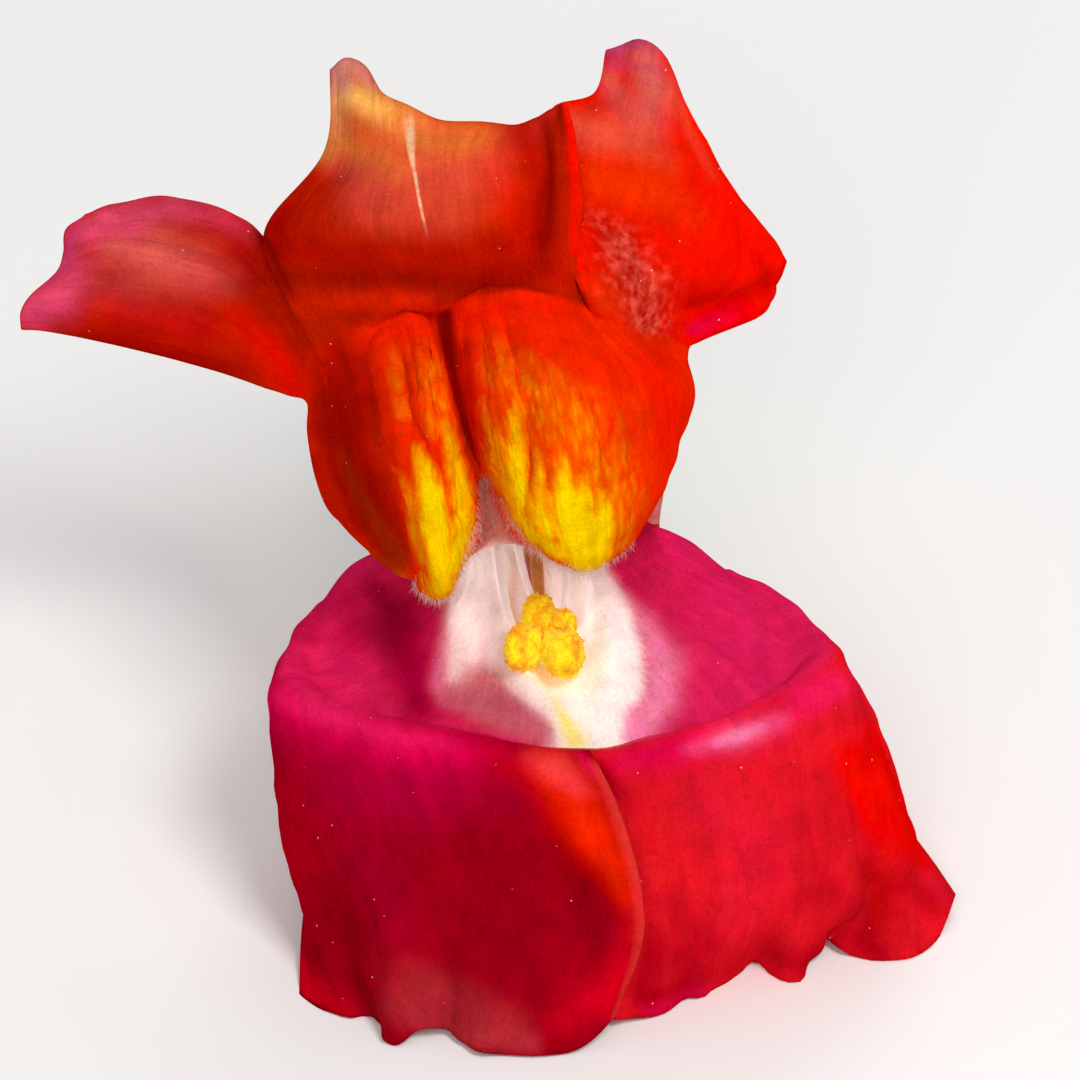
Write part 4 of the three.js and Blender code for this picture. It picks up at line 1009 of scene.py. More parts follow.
strokes["middlePetal"] = [
    ("shell", [(-8.5, 41.2, 0.6, 1), (-8.3, 40.2, 0.6, 0.95)], 2),
    ("shell", [(-7.8, 41.3, 0.4, 0.9), (-7.4, 40.8, 0.4, 0.9), (-7.1, 40.2, 0.3, 0.7)]),
    ("mauve", [(-8.8, 41.1, 0.2, 0.5), (-8.7, 40.2, 0.2, 0.4)]),
    ("peach", [(-8.4, 39.5, 0.6, 0.9), (-8.4, 38.5, 0.6, 0.8), (-8.7, 37.5, 0.5, 0.4)]),
    # partly the lobe's own apricot and orange, partly painted light on its upper face
    ("apricot", [(-7.6, 39.8, 0.5, 0.9), (-6.6, 39.2, 0.7, 1), (-5.6, 38.7, 0.7, 0.95),
        (-4.8, 38.2, 0.5, 0.5)]),
    ("orange", [(-6, 38.9, 0.7, 0.6), (-4.2, 38.2, 0.8, 0.9), (-2.3, 38.1, 0.8, 0.75)]),
    ("orange", [(-7, 37.8, 0.8, 0.35), (-5.8, 37.6, 0.9, 0.45), (-4.2, 37.4, 0.9, 0.35)]),
    ("coral", [(-7.9, 37.2, 0.9, 0.7), (-6.5, 36.2, 1.5, 0.8), (-4.6, 36.4, 1.5, 0.85),
        (-2.5, 36.6, 1.2, 0.65)]),
    ("salmon", [(-7.8, 36.8, 0.6, 0.3), (-7.4, 35.4, 0.8, 0.25)]),
    ("ochre", [(-9.1, 37.3, 0.4, 0.4), (-8, 38, 0.6, 0.55), (-7, 37.2, 0.7, 0.4),
        (-5.9, 36.8, 0.8, 0.3)]),
    ("ochre", [(-5.3, 38.1, 0.5, 0.4), (-4.2, 37.6, 0.6, 0.3), (-2.6, 37.8, 0.5, 0.25)]),
    ("coral", [(-6.5, 35.1, 0.9, 0.25), (-3.8, 35.1, 1.2, 0.4)]),
    ("brightRed", [(-1.7, 36.2, 0.9, 0.4), (-0.8, 34.5, 0.8, 0.3)]),
    ("petalRed", [(-1.5, 37.7, 0.7, 0.5), (-0.9, 38, 0.6, 0.7), (-0.1, 38.4, 0.5, 0.8),
        (0.5, 39.1, 0.3, 0.6)]),
    # painted shade where the left edge bends back
    ("ember", [(-11, 34.5, 0.5, 0.9), (-10, 35.6, 0.5, 0.5), (-9.2, 37, 0.3, 0.3)]),
    # painted shade in the fold over the palate
    ("ember", [(-10.8, 33.7, 0.8, 0.8), (-8.8, 33.3, 0.9, 0.6), (-5.8, 33.2, 0.9, 0.5),
        (-2.5, 33.3, 0.9, 0.6), (0, 33.8, 0.8, 0.6)]),
    # painted shadow along the left edge where it lies over the left wing
    ("brick", [(-11.3, 34, 0.2, 0.8), (-10.8, 32.8, 0.2, 0.85), (-10.1, 31.5, 0.2, 0.6)]),
    # painted shade inside the rolled right margin
    ("ember", [(-0.6, 38.1, 0.5, 0.45), (-0.3, 36.9, 0.5, 0.6), (-0.2, 35.5, 0.5, 0.6),
        (-0.4, 34.1, 0.5, 0.45)]),
    ("brick", [(0.2, 38.7, 0.3, 0.5), (0.5, 37.2, 0.4, 0.8), (0.4, 35.2, 0.5, 0.8),
        (0.1, 33.7, 0.4, 0.6)]),
    # painted highlight on the rim of the rolled margin
    ("brightRed", [(1.2, 39.6, 0.2, 1), (1.4, 37.7, 0.2, 1), (1.5, 35.6, 0.2, 1),
        (1.4, 33.5, 0.2, 0.8)], 2),
    # painted shade in the fold over the palate
    ("brick", [(-10.6, 32.5, 0.4, 0.4), (-8.3, 32.3, 0.6, 0.5), (-5.8, 32.4, 0.6, 0.6),
        (-2.9, 32.2, 0.6, 0.6), (0, 32.8, 0.6, 0.55)]),
    # painted light where the light falls on the petal's foot below the fold
    ("vermilion", [(-10, 31.2, 0.5, 0.4), (-7.5, 31.5, 0.4, 0.5), (-4.6, 31.4, 0.3, 0.4)]),
    # painted shade in the fold over the palate
    ("ember", [(-2.1, 32.6, 0.4, 0.4), (0, 32.7, 0.4, 0.5), (1.7, 32.2, 0.4, 0.4)]),
]
strokes["leftWing"] = [
    ("roseHaze", [(-21.2, 31, 0.8, 1), (-20, 31.4, 0.8, 0.9), (-19.2, 32.7, 0.7, 0.8)]),
    ("roseHaze", [(-19.1, 34.2, 0.6, 0.9), (-17.5, 34.8, 0.7, 0.95), (-15.8, 35.2, 0.6, 0.8),
        (-14.6, 35.1, 0.4, 0.5)]),
    ("mauve", [(-19.5, 33.9, 0.3, 0.8), (-19.7, 33, 0.3, 0.7), (-20.4, 32, 0.3, 0.5)]),
    ("salmon", [(-18.3, 32.2, 0.8, 0.5), (-16.7, 31.8, 0.8, 0.4)]),
    # painted sheen in the middle of the wing
    ("paleCoral", [(-17.7, 33.7, 0.8, 0.8), (-16.2, 33.4, 1.2, 0.85), (-14.6, 32.8, 1.2, 0.65),
        (-13.1, 32.2, 0.8, 0.35)]),
    ("roseHaze", [(-15.2, 35.5, 0.4, 0.7), (-13.5, 35, 0.5, 0.5), (-12.1, 34.2, 0.4, 0.3)]),
    ("wingPink", [(-18.9, 34.2, 0.4, 0.6), (-18, 34.7, 0.5, 0.9), (-17, 34.5, 0.5, 0.6)]),
    ("wingPink", [(-20.8, 31.4, 0.4, 0.5), (-19.9, 31.8, 0.5, 0.5)]),
    ("crimson", [(-12.5, 33.5, 0.6, 0.5), (-11.8, 32.5, 0.5, 0.5)]),
    # painted shadow cast by the middle petal's edge
    ("garnet", [(-11.6, 34.2, 0.3, 0.7), (-11.1, 33, 0.3, 0.95), (-10.4, 31.8, 0.3, 0.95),
        (-9.9, 30.8, 0.3, 0.6)]),
    ("deepRed", [(-20, 30.4, 0.3, 0.3), (-17.5, 29.8, 0.5, 0.7), (-14.6, 29, 0.6, 0.8),
        (-12.5, 28.7, 0.5, 0.5)]),
    ("ruby", [(-17.5, 30.8, 0.7, 0.4), (-14.2, 30.4, 0.8, 0.5)]),
    ("brightRed", [(-12.5, 30.6, 0.7, 0.6), (-11.6, 29.8, 0.8, 0.9), (-10.7, 28.8, 0.8, 1),
        (-9.9, 27.6, 0.6, 0.95)]),
]
strokes["rightWing"] = [
    ("mauve", [(3.1, 41.8, 0.5, 1), (3.8, 42.1, 0.5, 1), (4.6, 42, 0.5, 0.9)]),
    ("paleCoral", [(2.8, 40.6, 0.5, 0.7), (3.2, 39.8, 0.6, 0.7), (3.7, 38.9, 0.6, 0.5)]),
    ("paleCoral", [(4.4, 41.3, 0.7, 1), (4.7, 40.1, 0.8, 1), (4.4, 38.7, 0.8, 0.8)]),
    ("mauve", [(3, 41.2, 0.3, 0.5), (5, 41, 0.2, 0.35)]),
    # painted shade beside the horn
    ("crimson", [(2.9, 40.2, 0.2, 0.25), (2.8, 39.6, 0.3, 0.35), (2.2, 39.2, 0.3, 0.25)]),
    ("coral", [(0.8, 38.8, 0.6, 0.8), (2.4, 38.2, 1, 0.95), (4, 38, 1, 0.9), (5.1, 37, 0.8, 0.5)]),
    ("redOrange", [(2.5, 36.2, 1, 0.8), (4.6, 36, 1.2, 0.8), (6.2, 34.8, 0.8, 0.4)]),
    ("coral", [(5.4, 40.2, 0.3, 0.4), (6.2, 38.3, 0.3, 0.4), (7.1, 36.5, 0.3, 0.3)]),
    # painted shade in the crease at the foot of the wing
    ("ember", [(6.2, 31.4, 0.6, 0.6), (8.1, 31.6, 0.5, 0.75), (9.5, 32.3, 0.4, 0.6)]),
    ("raspberry", [(6.3, 30.2, 0.3, 0.7), (7.7, 30.7, 0.3, 0.5), (8.7, 31.2, 0.2, 0.3)]),
    ("ember", [(8.4, 31.1, 0.2, 0.5), (9.3, 31.8, 0.2, 0.6), (9.8, 32.6, 0.2, 0.4)]),
    ("redOrange", [(2.5, 31.4, 1, 0.7), (3.3, 30.2, 0.9, 0.7)]),
]
goldStrokes = [
    [(-4.8, 29.5, 0.5, 0.3), (-4.6, 28.4, 0.6, 0.46), (-4.4, 27.2, 0.6, 0.46), (-4.2, 26.1, 0.6, 0.52)],
    [(-6.2, 30, 0.5, 0.28), (-5.9, 28.3, 0.5, 0.36), (-5.6, 26.6, 0.4, 0.4)],
    [(-5.3, 30.2, 0.5, 0.26), (-5.2, 29.3, 0.5, 0.32)],
    [(-5.1, 25.2, 0.3, 0.55), (-4.8, 24.4, 0.4, 0.9), (-4.6, 23.4, 0.6, 1.05), (-4.4, 22.2, 0.6, 1.12),
        (-4.2, 21.1, 0.6, 1.05), (-4.1, 20.1, 0.5, 1), (-4.1, 19.2, 0.5, 0.85)],
    [(-3.2, 23.4, 0.2, 0.6), (-3, 22.5, 0.3, 0.8), (-3.1, 21.4, 0.3, 0.85), (-3.5, 20.3, 0.4, 0.9),
        (-3.8, 19.5, 0.3, 0.9)],
    [(-4.8, 20.1, 0.2, 0.6), (-4.5, 19.3, 0.3, 0.8)],
    [(-4, 26.4, 0.2, 0.55), (-3.9, 25.6, 0.3, 0.8), (-3.6, 24.5, 0.4, 0.95), (-3.4, 23.5, 0.5, 1.05),
        (-3.3, 22.5, 0.5, 1.05), (-3.5, 21.4, 0.5, 1.05), (-3.8, 20.2, 0.5, 1.05)],
    [(-5.9, 24.3, 0.3, 0.3), (-5.4, 23.1, 0.3, 0.55), (-5.1, 21.8, 0.3, 0.7), (-4.8, 20.6, 0.3, 0.7)],
    [(-2, 30, 0.8, 0.2), (-1.5, 28.6, 1.2, 0.36), (0, 27.2, 1.7, 0.44), (1.3, 25.9, 2.1, 0.46),
        (2.2, 24.5, 2, 0.48), (2.8, 23.1, 1.6, 0.5), (2.9, 21.6, 1, 0.55)],
    [(-2.2, 27, 0.4, 0.4), (-1.9, 25.9, 0.5, 0.6), (-1.7, 25, 0.6, 0.75), (-1.4, 24, 0.7, 0.85),
        (-1, 23.1, 0.6, 0.8)],
    [(-1, 27.2, 0.3, 0.5), (-1, 26.3, 0.4, 0.8), (-0.9, 25.4, 0.5, 0.9), (-0.9, 24.4, 0.5, 1),
        (-0.8, 23.5, 0.5, 1.05), (-0.8, 22.9, 0.4, 0.95)],
    [(0, 25, 0.3, 0.5), (0, 23.9, 0.4, 0.7), (0.1, 22.9, 0.5, 0.85), (0.4, 21.9, 0.6, 1)],
    [(1, 24.8, 0.3, 0.7), (1, 23.9, 0.5, 0.95), (1.1, 23, 0.8, 1.12), (1.5, 22.2, 1.1, 1.2),
        (1.9, 21.3, 1.2, 1.25), (2, 20.7, 0.9, 1.2)],
    [(1.7, 24, 0.2, 0.65), (1.9, 23.1, 0.4, 0.95)],
    [(2.4, 23.6, 0.2, 0.65), (2.5, 22.7, 0.5, 1), (2.6, 21.8, 0.5, 1.1)],
    [(-1.3, 22.9, 0.3, 0.75), (-0.8, 22.3, 0.4, 0.9), (-0.1, 21.6, 0.4, 1), (0.8, 21, 0.4, 1)],
    [(-0.5, 24, 0.3, 0.5), (-0.4, 23.1, 0.4, 0.8), (-0.1, 22.2, 0.4, 0.95)],
]
# down at the foot of the right wing, and where the painted glow on the shaded white walls is strongest
downStroke = [(2.2, 34.8, 0.6, 0.45), (3, 33.7, 1, 0.85), (4, 32, 1.3, 1), (4.3, 30.5, 1, 0.92),
    (3.9, 29.5, 0.6, 0.55)]
paintedGlowStrokes = [
    [(-3.7, 18.9, 0.4, 0.3), (-2.9, 20.6, 1.1, 1), (-2.8, 18.1, 1, 1), (-2.5, 16.6, 0.6, 0.5)],
    [(0.8, 18.9, 1.2, 0.4), (3.3, 17.2, 0.9, 0.35), (2.5, 15.2, 1.2, 0.25)],
]
regions = {  # part of a petal to its first and last rail
    "upper": [("tube", -1, 3.2), ("bowl", 3.2, 7.9), ("free", 7.9, margin)],
    "side": [("tube", -1, 4.2), ("underPalate", 4.2, 6.4), ("palate", 6.4, 10.4), ("free", 10.4, margin)],
    "middle": [("tube", -1, 4.2), ("underPalate", 4.2, 6.3), ("palate", 6.3, 10.3), ("free", 10.3, margin)],
}
petalParts = {  # the regions of each petal and the name of its free part
    "upperLeft": ("upper", "leftSkirt"),
    "upperRight": ("upper", "rightSkirt"),
    "lowerRight": ("side", "rightWing"),
    "lowerMiddle": ("middle", "middlePetal"),
    "lowerLeft": ("side", "leftWing"),
}
petalPaint = {
    "blend": 0.12,  # rails over which one region's colour goes over into the next
    "seam": {"columns": 1.6, "fromRail": 8.1, "fullRail": 8.4, "strength": 0.6},
    "glow": {"fromGreen": 0.25, "fullGreen": 0.6, "lastRail": 7.5, "everywhere": 0.2},
    "humps": (6.2, 6.6, 9.4, 10.2),
    "goldHardness": 1.3,
    "veins": {"tube": 0.4, "petal": 0.3, "fromRail": 5},
    "downRails": (9.6, 10.4),
}


def paintPetal(name, grid, rail):
    x, h = asSeen(grid)
    v = np.broadcast_to(rail[:, None], x.shape)
    tint = np.zeros(x.shape + (3,))
    total = np.zeros(x.shape)
    kind, freePart = petalParts[name]
    for region, low, high in regions[kind]:
        part = freePart if region == "free" else region
        colour = np.broadcast_to(linear(paints[basePaints[part]]), tint.shape).copy()
        for paint, line, *hard in strokes[part]:
            colour += (linear(paints[paint]) - colour) * brush(x, h, line, *hard)[..., None]
        inside = softWindow(v, low, high, petalPaint["blend"])
        tint += colour * inside[..., None]
        total += inside
    tint = tint / np.maximum(total, tiny)[..., None]
    if name == "upperLeft":  # painted highlight along its free margin
        seam = petalPaint["seam"]
        line = smoothStep(1 - seam["columns"] / (x.shape[1] - 1), 1, np.linspace(0, 1, x.shape[1]))
        line = (line * smoothStep(seam["fromRail"], seam["fullRail"], v)) ** 2 * seam["strength"]
        tint += (linear(paints["marginHighlight"]) - tint) * line[..., None]
    # painted glow: emission on the white tissue only, most of it on the shaded walls
    see = petalPaint["glow"]
    glow = np.clip(see["everywhere"] + sum(brush(x, h, line) for line in paintedGlowStrokes), 0, 1)
    glow = glow * smoothStep(see["fromGreen"], see["fullGreen"], tint[..., 1]) * (v < see["lastRail"])
    return np.concatenate([tint, glow[..., None]], axis=-1)


midrib = {  # the white rib of the middle petal, fine towards the crease and broad towards the margin
    "top": (-5.5, 38.9),
    "foot": (-4.62, 33.9),
    "bow": 0.12,
    "broadening": 2.2,
}


def midribPlace(x, h):  # signed distance from the rib, and whether it reaches this far
    top, foot = np.array(midrib["top"]), np.array(midrib["foot"])
    length = np.linalg.norm(foot - top)
    along = (foot - top) / length
    t = (x - top[0]) * along[0] + (h - top[1]) * along[1]
    off = (x - top[0]) * along[1] - (h - top[1]) * along[0]
    off = off - midrib["bow"] * np.sin(np.clip(t / length, 0, 1) * math.pi)
    broad = 1 + midrib["broadening"] * (1 - smoothStep(0, 0.6 * length, t))
    return off / broad, window(t, -0.3, 0.4, length - 1.5, length)


def petalMarks(name, grid, rail):  # gold of the palate, strength of the veins, down, reach of the rib
    x, h = asSeen(grid)
    v = np.broadcast_to(rail[:, None], x.shape)
    gold = np.zeros(x.shape)
    down = np.zeros(x.shape)
    if name.startswith("lower"):
        for line in goldStrokes:
            gold = np.maximum(gold, brush(x, h, line, petalPaint["goldHardness"]))
        gold = gold * window(v, *petalPaint["humps"])
    if name == "lowerRight":
        down = brush(x, h, downStroke) * smoothStep(*petalPaint["downRails"], v)
    strength = petalPaint["veins"]
    veins = np.where(v > strength["fromRail"], strength["petal"], strength["tube"])
    offRib, reach = midribPlace(x, h)
    return np.stack([gold, veins, down, reach * (name == "lowerMiddle")], axis=-1), offRib


def makeCorolla():
    sheets, grids = [], []
    petals = corolla["petals"]
    tubeSpans = len(tube["rings"])
    for k, (name, fromSeam, toSeam, lip, part, free, columns, shared) in enumerate(petals):
        start, end = seams[fromSeam], seams[toSeam]
        if end < start:
            end += 360
        rails = [tubeRing(ring, start, end) for ring in tube["rings"]] + [turned(r) for r in lip + free]
        spans = [(0, 1)] * tubeSpans + [part] * len(lip) + [(0, 1)] * len(free)
        steps = [corolla["tubeRows"]] * tubeSpans + [corolla["petalRows"]] * (len(lip + free) - 1)
        grid, rail = stripGrid(rails, spans, columns, steps)
        before, after = tubeSpans + petals[k - 1][-1], tubeSpans + shared
        grid = fineShape(name, grid, rail, (before, after))
        shareEdges(grid, grids, rail, before, after)
        u = np.linspace(k, k + 1, columns + 1) * (end - start) / (360 / partCount)
        v = runLength(grid[:, columns // 2]) / corolla["lengthPerV"]
        sheet, r, c = gridSheet(grid, rail, u, v, corolla["thinning"])
        marks, offRib = petalMarks(name, grid, rail)
        numbers = {"tint": paintPetal(name, grid, rail), "marks": marks, "offRib": offRib}
        for key, values in numbers.items():
            addNumbers(sheet.data, key, values[r, c])
        sheets.append(sheet)
    piece = closeSheets(sheets, corolla["wall"], corolla["marginWall"], petalBack, petalFront)
    finishPiece(piece, "corollaPetals", "petal", "corolla")
    return grids


petalGrids = makeCorolla()


# Small things are modelled once and copied to every root.
def modelOf(thing):  # the corners and faces of a finished model, which is then put away
    corners = np.array([v.co for v in thing.data.vertices])
    faces = [tuple(f.vertices) for f in thing.data.polygons]
    bpy.data.objects.remove(thing)
    return corners, faces


def copyTo(name, model, spots, frames, sag=0.0):  # frames hold each copy's own three directions and sizes
    corners, faces = model
    verts = spots[:, None, :] + np.einsum("vi,kij->kvj", corners, frames)
    verts[..., 2] -= np.multiply.outer(sag, corners[:, 2] ** 2)
    mesh = bpy.data.meshes.new(name)
    allFaces = [tuple(k * len(corners) + i for i in face) for k in range(len(spots)) for face in faces]
    mesh.from_pydata(inPart(verts).reshape(-1, 3).tolist(), [], allFaces)
    piece = bpy.data.objects.new(name, mesh)
    bpy.context.collection.objects.link(piece)
    mesh.shade_smooth()
    return piece


def sliceAt(piece, heights):  # adds a ring of edges at each height
    selectOnly(piece)
    bpy.ops.object.mode_set(mode="EDIT")
    for height in heights:
        bpy.ops.mesh.select_all(action="SELECT")
        bpy.ops.mesh.bisect(plane_co=(0, 0, height), plane_no=(0, 0, 1))
    bpy.ops.object.mode_set(mode="OBJECT")


hairs = {  # the two kinds, then the model that all are copies of
    "palate": {"radius": 0.009, "short": 0.12, "long": 0.5, "droop": 0.3},
    "plant": {"radius": 0.014, "short": 0.18, "long": 0.42, "droop": 0.1},
    "tip": 0.2,
    "bends": (0.35, 0.7),  # heights at which a hair of unit height can bend
}
bpy.ops.mesh.primitive_cone_add(vertices=3, radius1=1, radius2=hairs["tip"], depth=1, location=(0, 0, 0.5))
bpy.ops.object.transform_apply()
sliceAt(bpy.context.object, hairs["bends"])
hairModel = modelOf(bpy.context.object)


# draw(count) gives each hair's share of the way from short to long
def makeHairs(name, slot, kind, material, roots, ways, draw):
    look = hairs[kind]
    d = unit(np.array(ways))
    helper = np.where(np.abs(d[:, 2:3]) < 0.9, [[0, 0, 1.0]], [[1.0, 0, 0]])
    a = unit(np.cross(d, helper))
    lengths = look["short"] + (look["long"] - look["short"]) * draw(len(roots))
    frames = np.stack([a * look["radius"], np.cross(d, a) * look["radius"], d * lengths[:, None]], axis=1)
    piece = copyTo(name, hairModel, np.array(roots), frames, lengths * look["droop"])
    dress(piece, material)
    finishPiece(piece, name, slot)


palateHairs = {
    "count": 2600,
    "humpEdge": 2,  # rails of the lower lip up to the lower edge of the humps
    "rows": (-3.5, 4.5),  # from that edge: middle and spread
    "rowLimits": (-18, 4),
    "cleft": (-4.2, 1.6),  # the only place for hairs above cleftRow
    "cleftRow": -9,
    "left": -5.2,
    "sparseFrom": 2.6,
    "sparse": 0.2,
    "sideColumns": 4,  # left bare at either side
    "rise": 0.16,  # from the middle of the wall
    "scatter": 0.03,
    "outwards": 0.7,
    "spread": 0.55,
    "fall": (0, -0.8, 0.1),
    "lengthDraw": (1.4, 2.4),
}


def makePalateHairs():
    grid = petalGrids[3]
    edge = corolla["tubeRows"] * len(tube["rings"]) + corolla["petalRows"] * palateHairs["humpEdge"]
    x, h = asSeen(grid)
    normal = -gridNormals(grid)
    lowest, highest = palateHairs["rowLimits"]
    side = palateHairs["sideColumns"]
    cleftLeft, cleftRight = palateHairs["cleft"]
    roots, ways = [], []
    while len(roots) < palateHairs["count"]:
        r = edge + int(rng.normal(*palateHairs["rows"]))
        c = int(rng.uniform(side, grid.shape[1] - 1 - side))
        if not lowest < r - edge < highest:
            continue
        if r - edge < palateHairs["cleftRow"] and not cleftLeft < x[r, c] < cleftRight:
            continue
        if x[r, c] < palateHairs["left"]:
            continue
        if x[r, c] > palateHairs["sparseFrom"] and rng.random() > palateHairs["sparse"]:
            continue
        way = normal[r, c] * palateHairs["outwards"] + rng.normal(0, palateHairs["spread"], 3)
        ways.append(way + turned(palateHairs["fall"]))
        root = grid[r, c] + normal[r, c] * palateHairs["rise"]
        roots.append(root + rng.normal(0, palateHairs["scatter"], 3))

    def draw(count):
        return rng.beta(*palateHairs["lengthDraw"], count)

    makeHairs("palateHairs", "petal", "palate", skins["hair"], roots, ways, draw)


makePalateHairs()

# Rods: each radius is given at a share of the rod's length.
rods = {"samples": 400, "blurRings": 5, "smoothUnder": 50, "ribCount": 5, "ribTwist": 2}
stalk = {
    "path": [[0.23, 38.96, 8.19], [0.32, 40.9, 7.43], [0.7, 43.4, 5.4], [1.2, 45.2, 2.9],
             [1.4, 45.8, -0.13]],
    "radii": [(0, 2.15), (0.05, 2.4), (0.1, 2.2), (0.16, 1.65), (0.24, 1.15), (0.36, 0.95), (0.52, 0.88),
              (0.68, 0.85), (0.84, 0.88), (1, 0.95)],
    "sides": 36,
    "rings": 46,
    "ribs": 0.03,
}
pistil = {
    "path": [[0.2, 38.4, 8.4], [0.05, 36.2, 8.75], [-0.05, 34.2, 8.5], [-0.15, 31.0, 8.25],
             [-0.2, 28.2, 8.75], [-0.2, 25.2, 9.9], [-0.2, 22.8, 10.3], [-0.1, 20.1, 10.0],
             [0.05, 17.9, 9.9]],
    "radii": [(0, 1.2), (0.03, 1.25), (0.08, 1.7), (0.14, 1.75), (0.2, 1.3), (0.25, 0.6), (0.3, 0.36),
              (0.45, 0.33), (0.6, 0.33), (0.75, 0.3), (0.9, 0.28), (0.96, 0.24), (1, 0.08)],
    "sides": 20,
    "rings": 60,
}
filament = {
    "radii": [(0, 0.38), (0.15, 0.36), (0.3, 0.3), (0.6, 0.2), (1, 0.14)],
    "sides": 14,
    "rings": 40,
}
filamentPaths = {
    "long_left": [[-2.1, 32.4, 7.7], [-2.3, 28.2, 9.15], [-2.2, 25.2, 10.0], [-1.9, 22.6, 10.3],
                  [-1.6, 19.8, 9.7], [-1.3, 17.8, 9.55], [-0.8, 15.6, 9.75]],
    "long_right": [[1.85, 32.4, 7.75], [1.8, 28.2, 9.05], [1.8, 25.2, 10.1], [1.85, 22.6, 10.4],
                   [1.95, 19.8, 9.7], [1.85, 17.7, 9.5], [1.2, 15.4, 9.75]],
    "short_left": [[-1.05, 33.0, 7.0], [-1.2, 28.3, 8.65], [-1.25, 25.2, 9.85], [-1.05, 22.8, 10.3],
                   [-0.7, 20.6, 9.95], [-0.2, 17.8, 10.1]],
    "short_right": [[0.95, 32.9, 6.95], [0.75, 28.3, 8.6], [0.8, 25.2, 9.85], [1.0, 22.8, 10.4],
                    [1.15, 20.6, 9.9], [1.0, 17.6, 9.8]],
}


def makeRod(name, slot, node, look, material):
    rings = look["rings"]
    dense = alongCurve(look["path"], np.linspace(0, 1, rods["samples"]))
    length = runLength(dense)
    shares = np.linspace(0, 1, rings)
    centre = np.stack([np.interp(shares * length[-1], length, dense[:, i]) for i in range(3)], axis=1)
    radius = np.interp(shares, *np.transpose(look["radii"]))
    blur = rods["blurRings"]
    radius = np.convolve(np.pad(radius, blur // 2, mode="edge"), np.ones(blur) / blur, mode="valid")
    bpy.ops.mesh.primitive_cylinder_add(vertices=look["sides"], radius=1, depth=2, end_fill_type="NGON")
    rod = bpy.context.object
    sliceAt(rod, np.linspace(-1, 1, rings)[1:-1])
    tangent = unit(np.gradient(centre, axis=0))
    side = np.array([1.0, 0, 0])
    across = []
    for forward in tangent:  # carried along the rod without a twist
        side = unit(side - forward * side.dot(forward))
        across.append(side)
    across = np.array(across)
    corners = cornersOf(rod.data)
    k = np.rint((corners[:, 2] + 1) / 2 * (rings - 1)).astype(int)
    angle = np.arctan2(corners[:, 1], corners[:, 0])
    ribs = np.cos(rods["ribCount"] * angle + rods["ribTwist"] * shares[k])
    reach = radius[k] * (1 + look.get("ribs", 0) * ribs)
    ring = across[k] * np.cos(angle)[:, None] + np.cross(tangent, across)[k] * np.sin(angle)[:, None]
    moveCorners(rod.data, inPart(centre[k] + ring * reach[:, None]))
    bpy.ops.object.shade_smooth_by_angle(angle=math.radians(rods["smoothUnder"]))
    dress(rod, material)
    if slot == "stalk":
        restOnFloor(rod.data)
    finishPiece(rod, name, slot, node)


makeRod("greenStalk", "stalk", "stalk", stalk, skins["stalk"])
makeRod("palePistil", "pistil", "pistil", pistil, skins["pistil"])
for side, path in filamentPaths.items():
    look = filament | {"path": path}
    makeRod("filament_" + side + "_white", "filament", "filament_" + side, look, skins["filament"])

# Anthers: two pollen sacs each, dusted with grains.
anthers = {
    "furrow": {"depth": 0.3, "width": 0.3},
    "lumps": {"height": 0.1, "size": 1.2, "seed": 21},
    "grains": 170,
    "grainSize": 0.045,
    "grainRange": (0.6, 1.2),
    "segments": 40,
    "rings": 24,
    "sacs": {  # centre, half sizes, turn
        "long_left": ((-0.7, 14.9, 10.1), (0.8, 1.35, 1.0), -12),
        "long_right": ((0.95, 14.6, 10.05), (0.92, 1.5, 1.0), 8),
        "short_left": ((-0.05, 17.1, 10.3), (0.68, 1.1, 0.8), -8),
        "short_right": ((0.98, 16.85, 9.85), (0.58, 1.0, 0.7), 10),
    },
}


def makeAnthers():
    bpy.ops.mesh.primitive_ico_sphere_add(subdivisions=1, radius=1)
    grain = modelOf(bpy.context.object)
    segments, rings, count = anthers["segments"], anthers["rings"], anthers["grains"]
    furrow, lumps = anthers["furrow"], anthers["lumps"]
    for name, (centre, half, turn) in anthers["sacs"].items():
        bpy.ops.mesh.primitive_uv_sphere_add(segments=segments, ring_count=rings, radius=1)
        sac = bpy.context.object
        p = cornersOf(sac.data)
        a, b = p[:, 0] * 4 + centre[0], p[:, 1] * 4 + p[:, 2] * 3
        lump = lumps["height"] * softNoise(a, b, lumps["size"], lumps["seed"])
        p[:, 2] *= 1 - furrow["depth"] * np.exp(-((p[:, 0] / furrow["width"]) ** 2))
        p = p * (1 + lump)[:, None] * half
        c, s = math.cos(math.radians(turn)), math.sin(math.radians(turn))
        p = np.stack([p[:, 0] * c - p[:, 1] * s, p[:, 0] * s + p[:, 1] * c, p[:, 2]], axis=1) + centre
        moveCorners(sac.data, inPart(p))
        bpy.ops.object.shade_smooth()
        spots = p[rng.integers(len(p), size=count)]
        sizes = anthers["grainSize"] * rng.uniform(*anthers["grainRange"], count)
        dust = copyTo("grains", grain, spots, np.eye(3)[None] * sizes[:, None, None])
        selectOnly(sac, dust)
        bpy.ops.object.join()
        dress(sac, skins["pollen"])
        finishPiece(sac, "anther_" + name + "_dusted", "pollen", "anther_" + name)


makeAnthers()

calyx = {
    "wall": 0.5,
    "tipWall": 0.25,
    "thinning": 1.5,
    "columns": 16,
    "rows": 9,
    "fused": 1,
    "firstEdge": 54,
    "rib": {"height": 0.16, "width": 0.16, "rails": (0.3, 1.2)},
    "curl": {"height": 0.2, "rails": (4, 5)},
    "wave": 0.06,
    # share of the way, half width, half height, pouch, half the sepal's angle
    "rings": [(1.046, 2.3, 2.3, 0, 36), (0.98, 4.4, 4.4, 0.45, 36), (0.9, 5.3, 5.15, 0.85, 29),
              (0.79, 5.65, 5.5, 1.1, 21), (0.69, 5.75, 5.6, 1.1, 13), (0.63, 5.95, 5.8, 1.1, 4)],
}


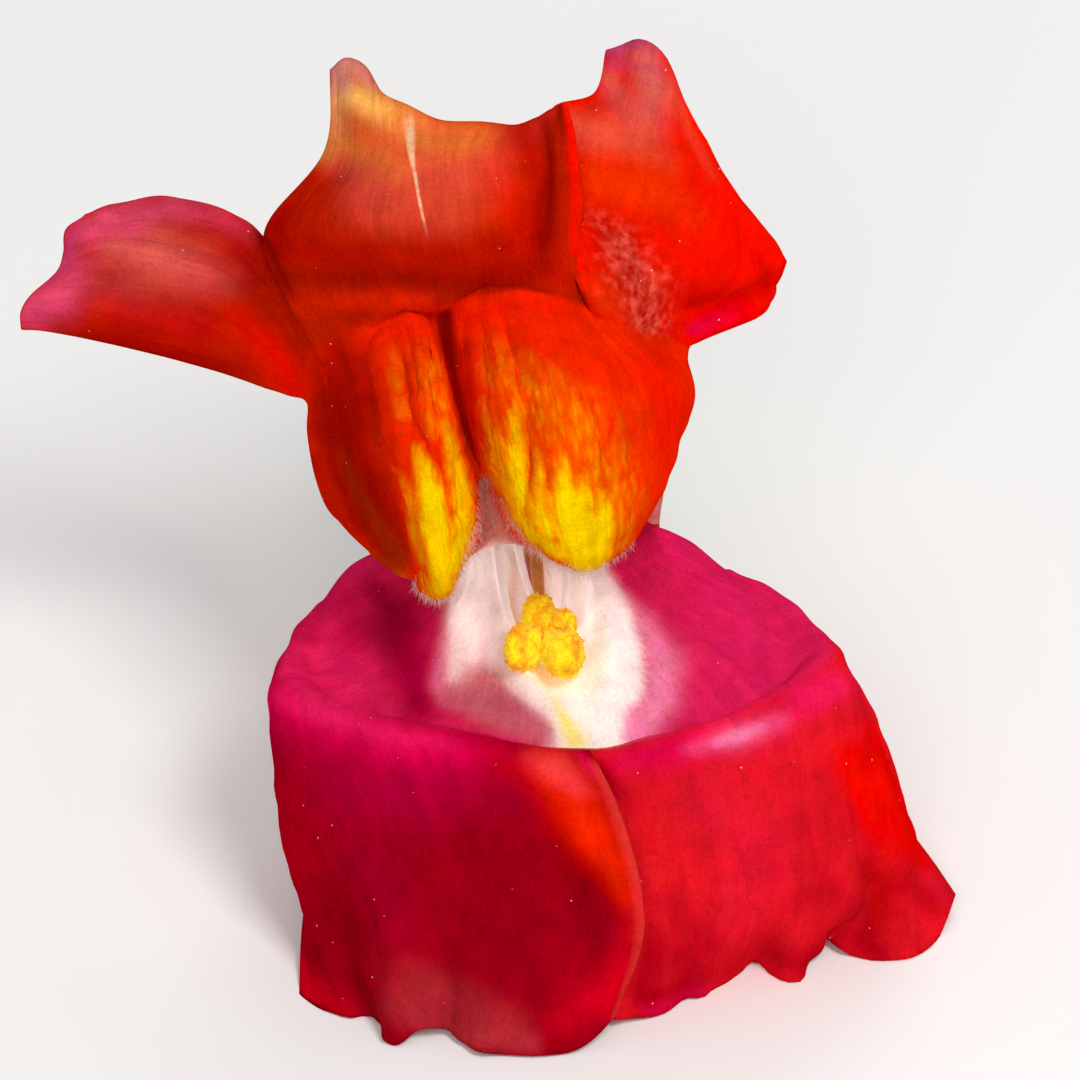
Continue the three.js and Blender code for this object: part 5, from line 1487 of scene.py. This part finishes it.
def makeCalyx():  # five sepals, fused at the base
    sheets, grids = [], []
    columns, fused, rings = calyx["columns"], calyx["fused"], calyx["rings"]
    rib, curl = calyx["rib"], calyx["curl"]
    for k in range(partCount):
        middle = calyx["firstEdge"] + 360 / partCount * (k + 0.5)
        rails = [tubeRing(ring, middle - ring[4], middle + ring[4]) for ring in rings]
        steps = [calyx["rows"]] * (len(rings) - 1)
        grid, rail = stripGrid(rails, [(0, 1)] * len(rings), columns, steps)
        u = np.linspace(-1, 1, columns + 1)[None, :]
        v = rail[:, None]
        lift = rib["height"] * np.exp(-((u / rib["width"]) ** 2)) * smoothStep(*rib["rails"], v)
        lift = lift + curl["height"] * smoothStep(*curl["rails"], v) + calyx["wave"] * np.sin(v * 3 + k) * u
        hold = np.where(v <= fused + 0.5, smoothStep(0, 0.25, 1 - np.abs(u)), 1)
        grid = grid + gridNormals(grid) * (lift * hold)[..., None]
        shareEdges(grid, grids, rail, fused, fused)
        uv = np.linspace(k, k + 1, columns + 1), rail / (len(rings) - 1)
        sheets.append(gridSheet(grid, rail, *uv, calyx["thinning"])[0])
    piece = closeSheets(sheets, calyx["wall"], calyx["tipWall"], skins["sepal"])
    finishPiece(piece, "greenCalyx", "sepal", "calyx")
    return grids


sepalGrids = makeCalyx()
down = {
    "onSepals": 1300,
    "sepalRise": 0.2,
    "sepalScatter": 0.08,
    "sepalSpread": 0.3,
    "onStalk": 700,
    "stalkSteps": 200,
    "stalkPart": (8, 186),
    "stalkSunk": 0.05,
    "stalkSpread": 0.15,
}


def makeDown():
    roots, ways = [], []
    for _ in range(down["onSepals"]):
        grid = sepalGrids[int(rng.integers(partCount))]
        r, c = int(rng.integers(1, grid.shape[0] - 1)), int(rng.integers(1, grid.shape[1] - 1))
        normal = unit(np.cross(grid[r, c + 1] - grid[r, c - 1], grid[r + 1, c] - grid[r - 1, c]))
        roots.append(grid[r, c] + normal * down["sepalRise"] + rng.normal(0, down["sepalScatter"], 3))
        ways.append(normal + rng.normal(0, down["sepalSpread"], 3))
    makeHairs("sepalDown", "sepal", "plant", skins["down"], roots, ways, rng.random)
    steps = down["stalkSteps"]
    dense = alongCurve(stalk["path"], np.linspace(0, 1, steps))
    roots, ways = [], []
    for _ in range(down["onStalk"]):
        k = int(rng.integers(*down["stalkPart"]))
        way = unit(np.cross(dense[k + 1] - dense[k - 1], rng.normal(0, 1, 3)))
        radius = np.interp(k / steps, *np.transpose(stalk["radii"]))
        roots.append(dense[k] + way * (radius - down["stalkSunk"]))
        ways.append(way + rng.normal(0, down["stalkSpread"], 3))
    makeHairs("stalkDown", "stalk", "plant", skins["down"], roots, ways, rng.random)


makeDown()
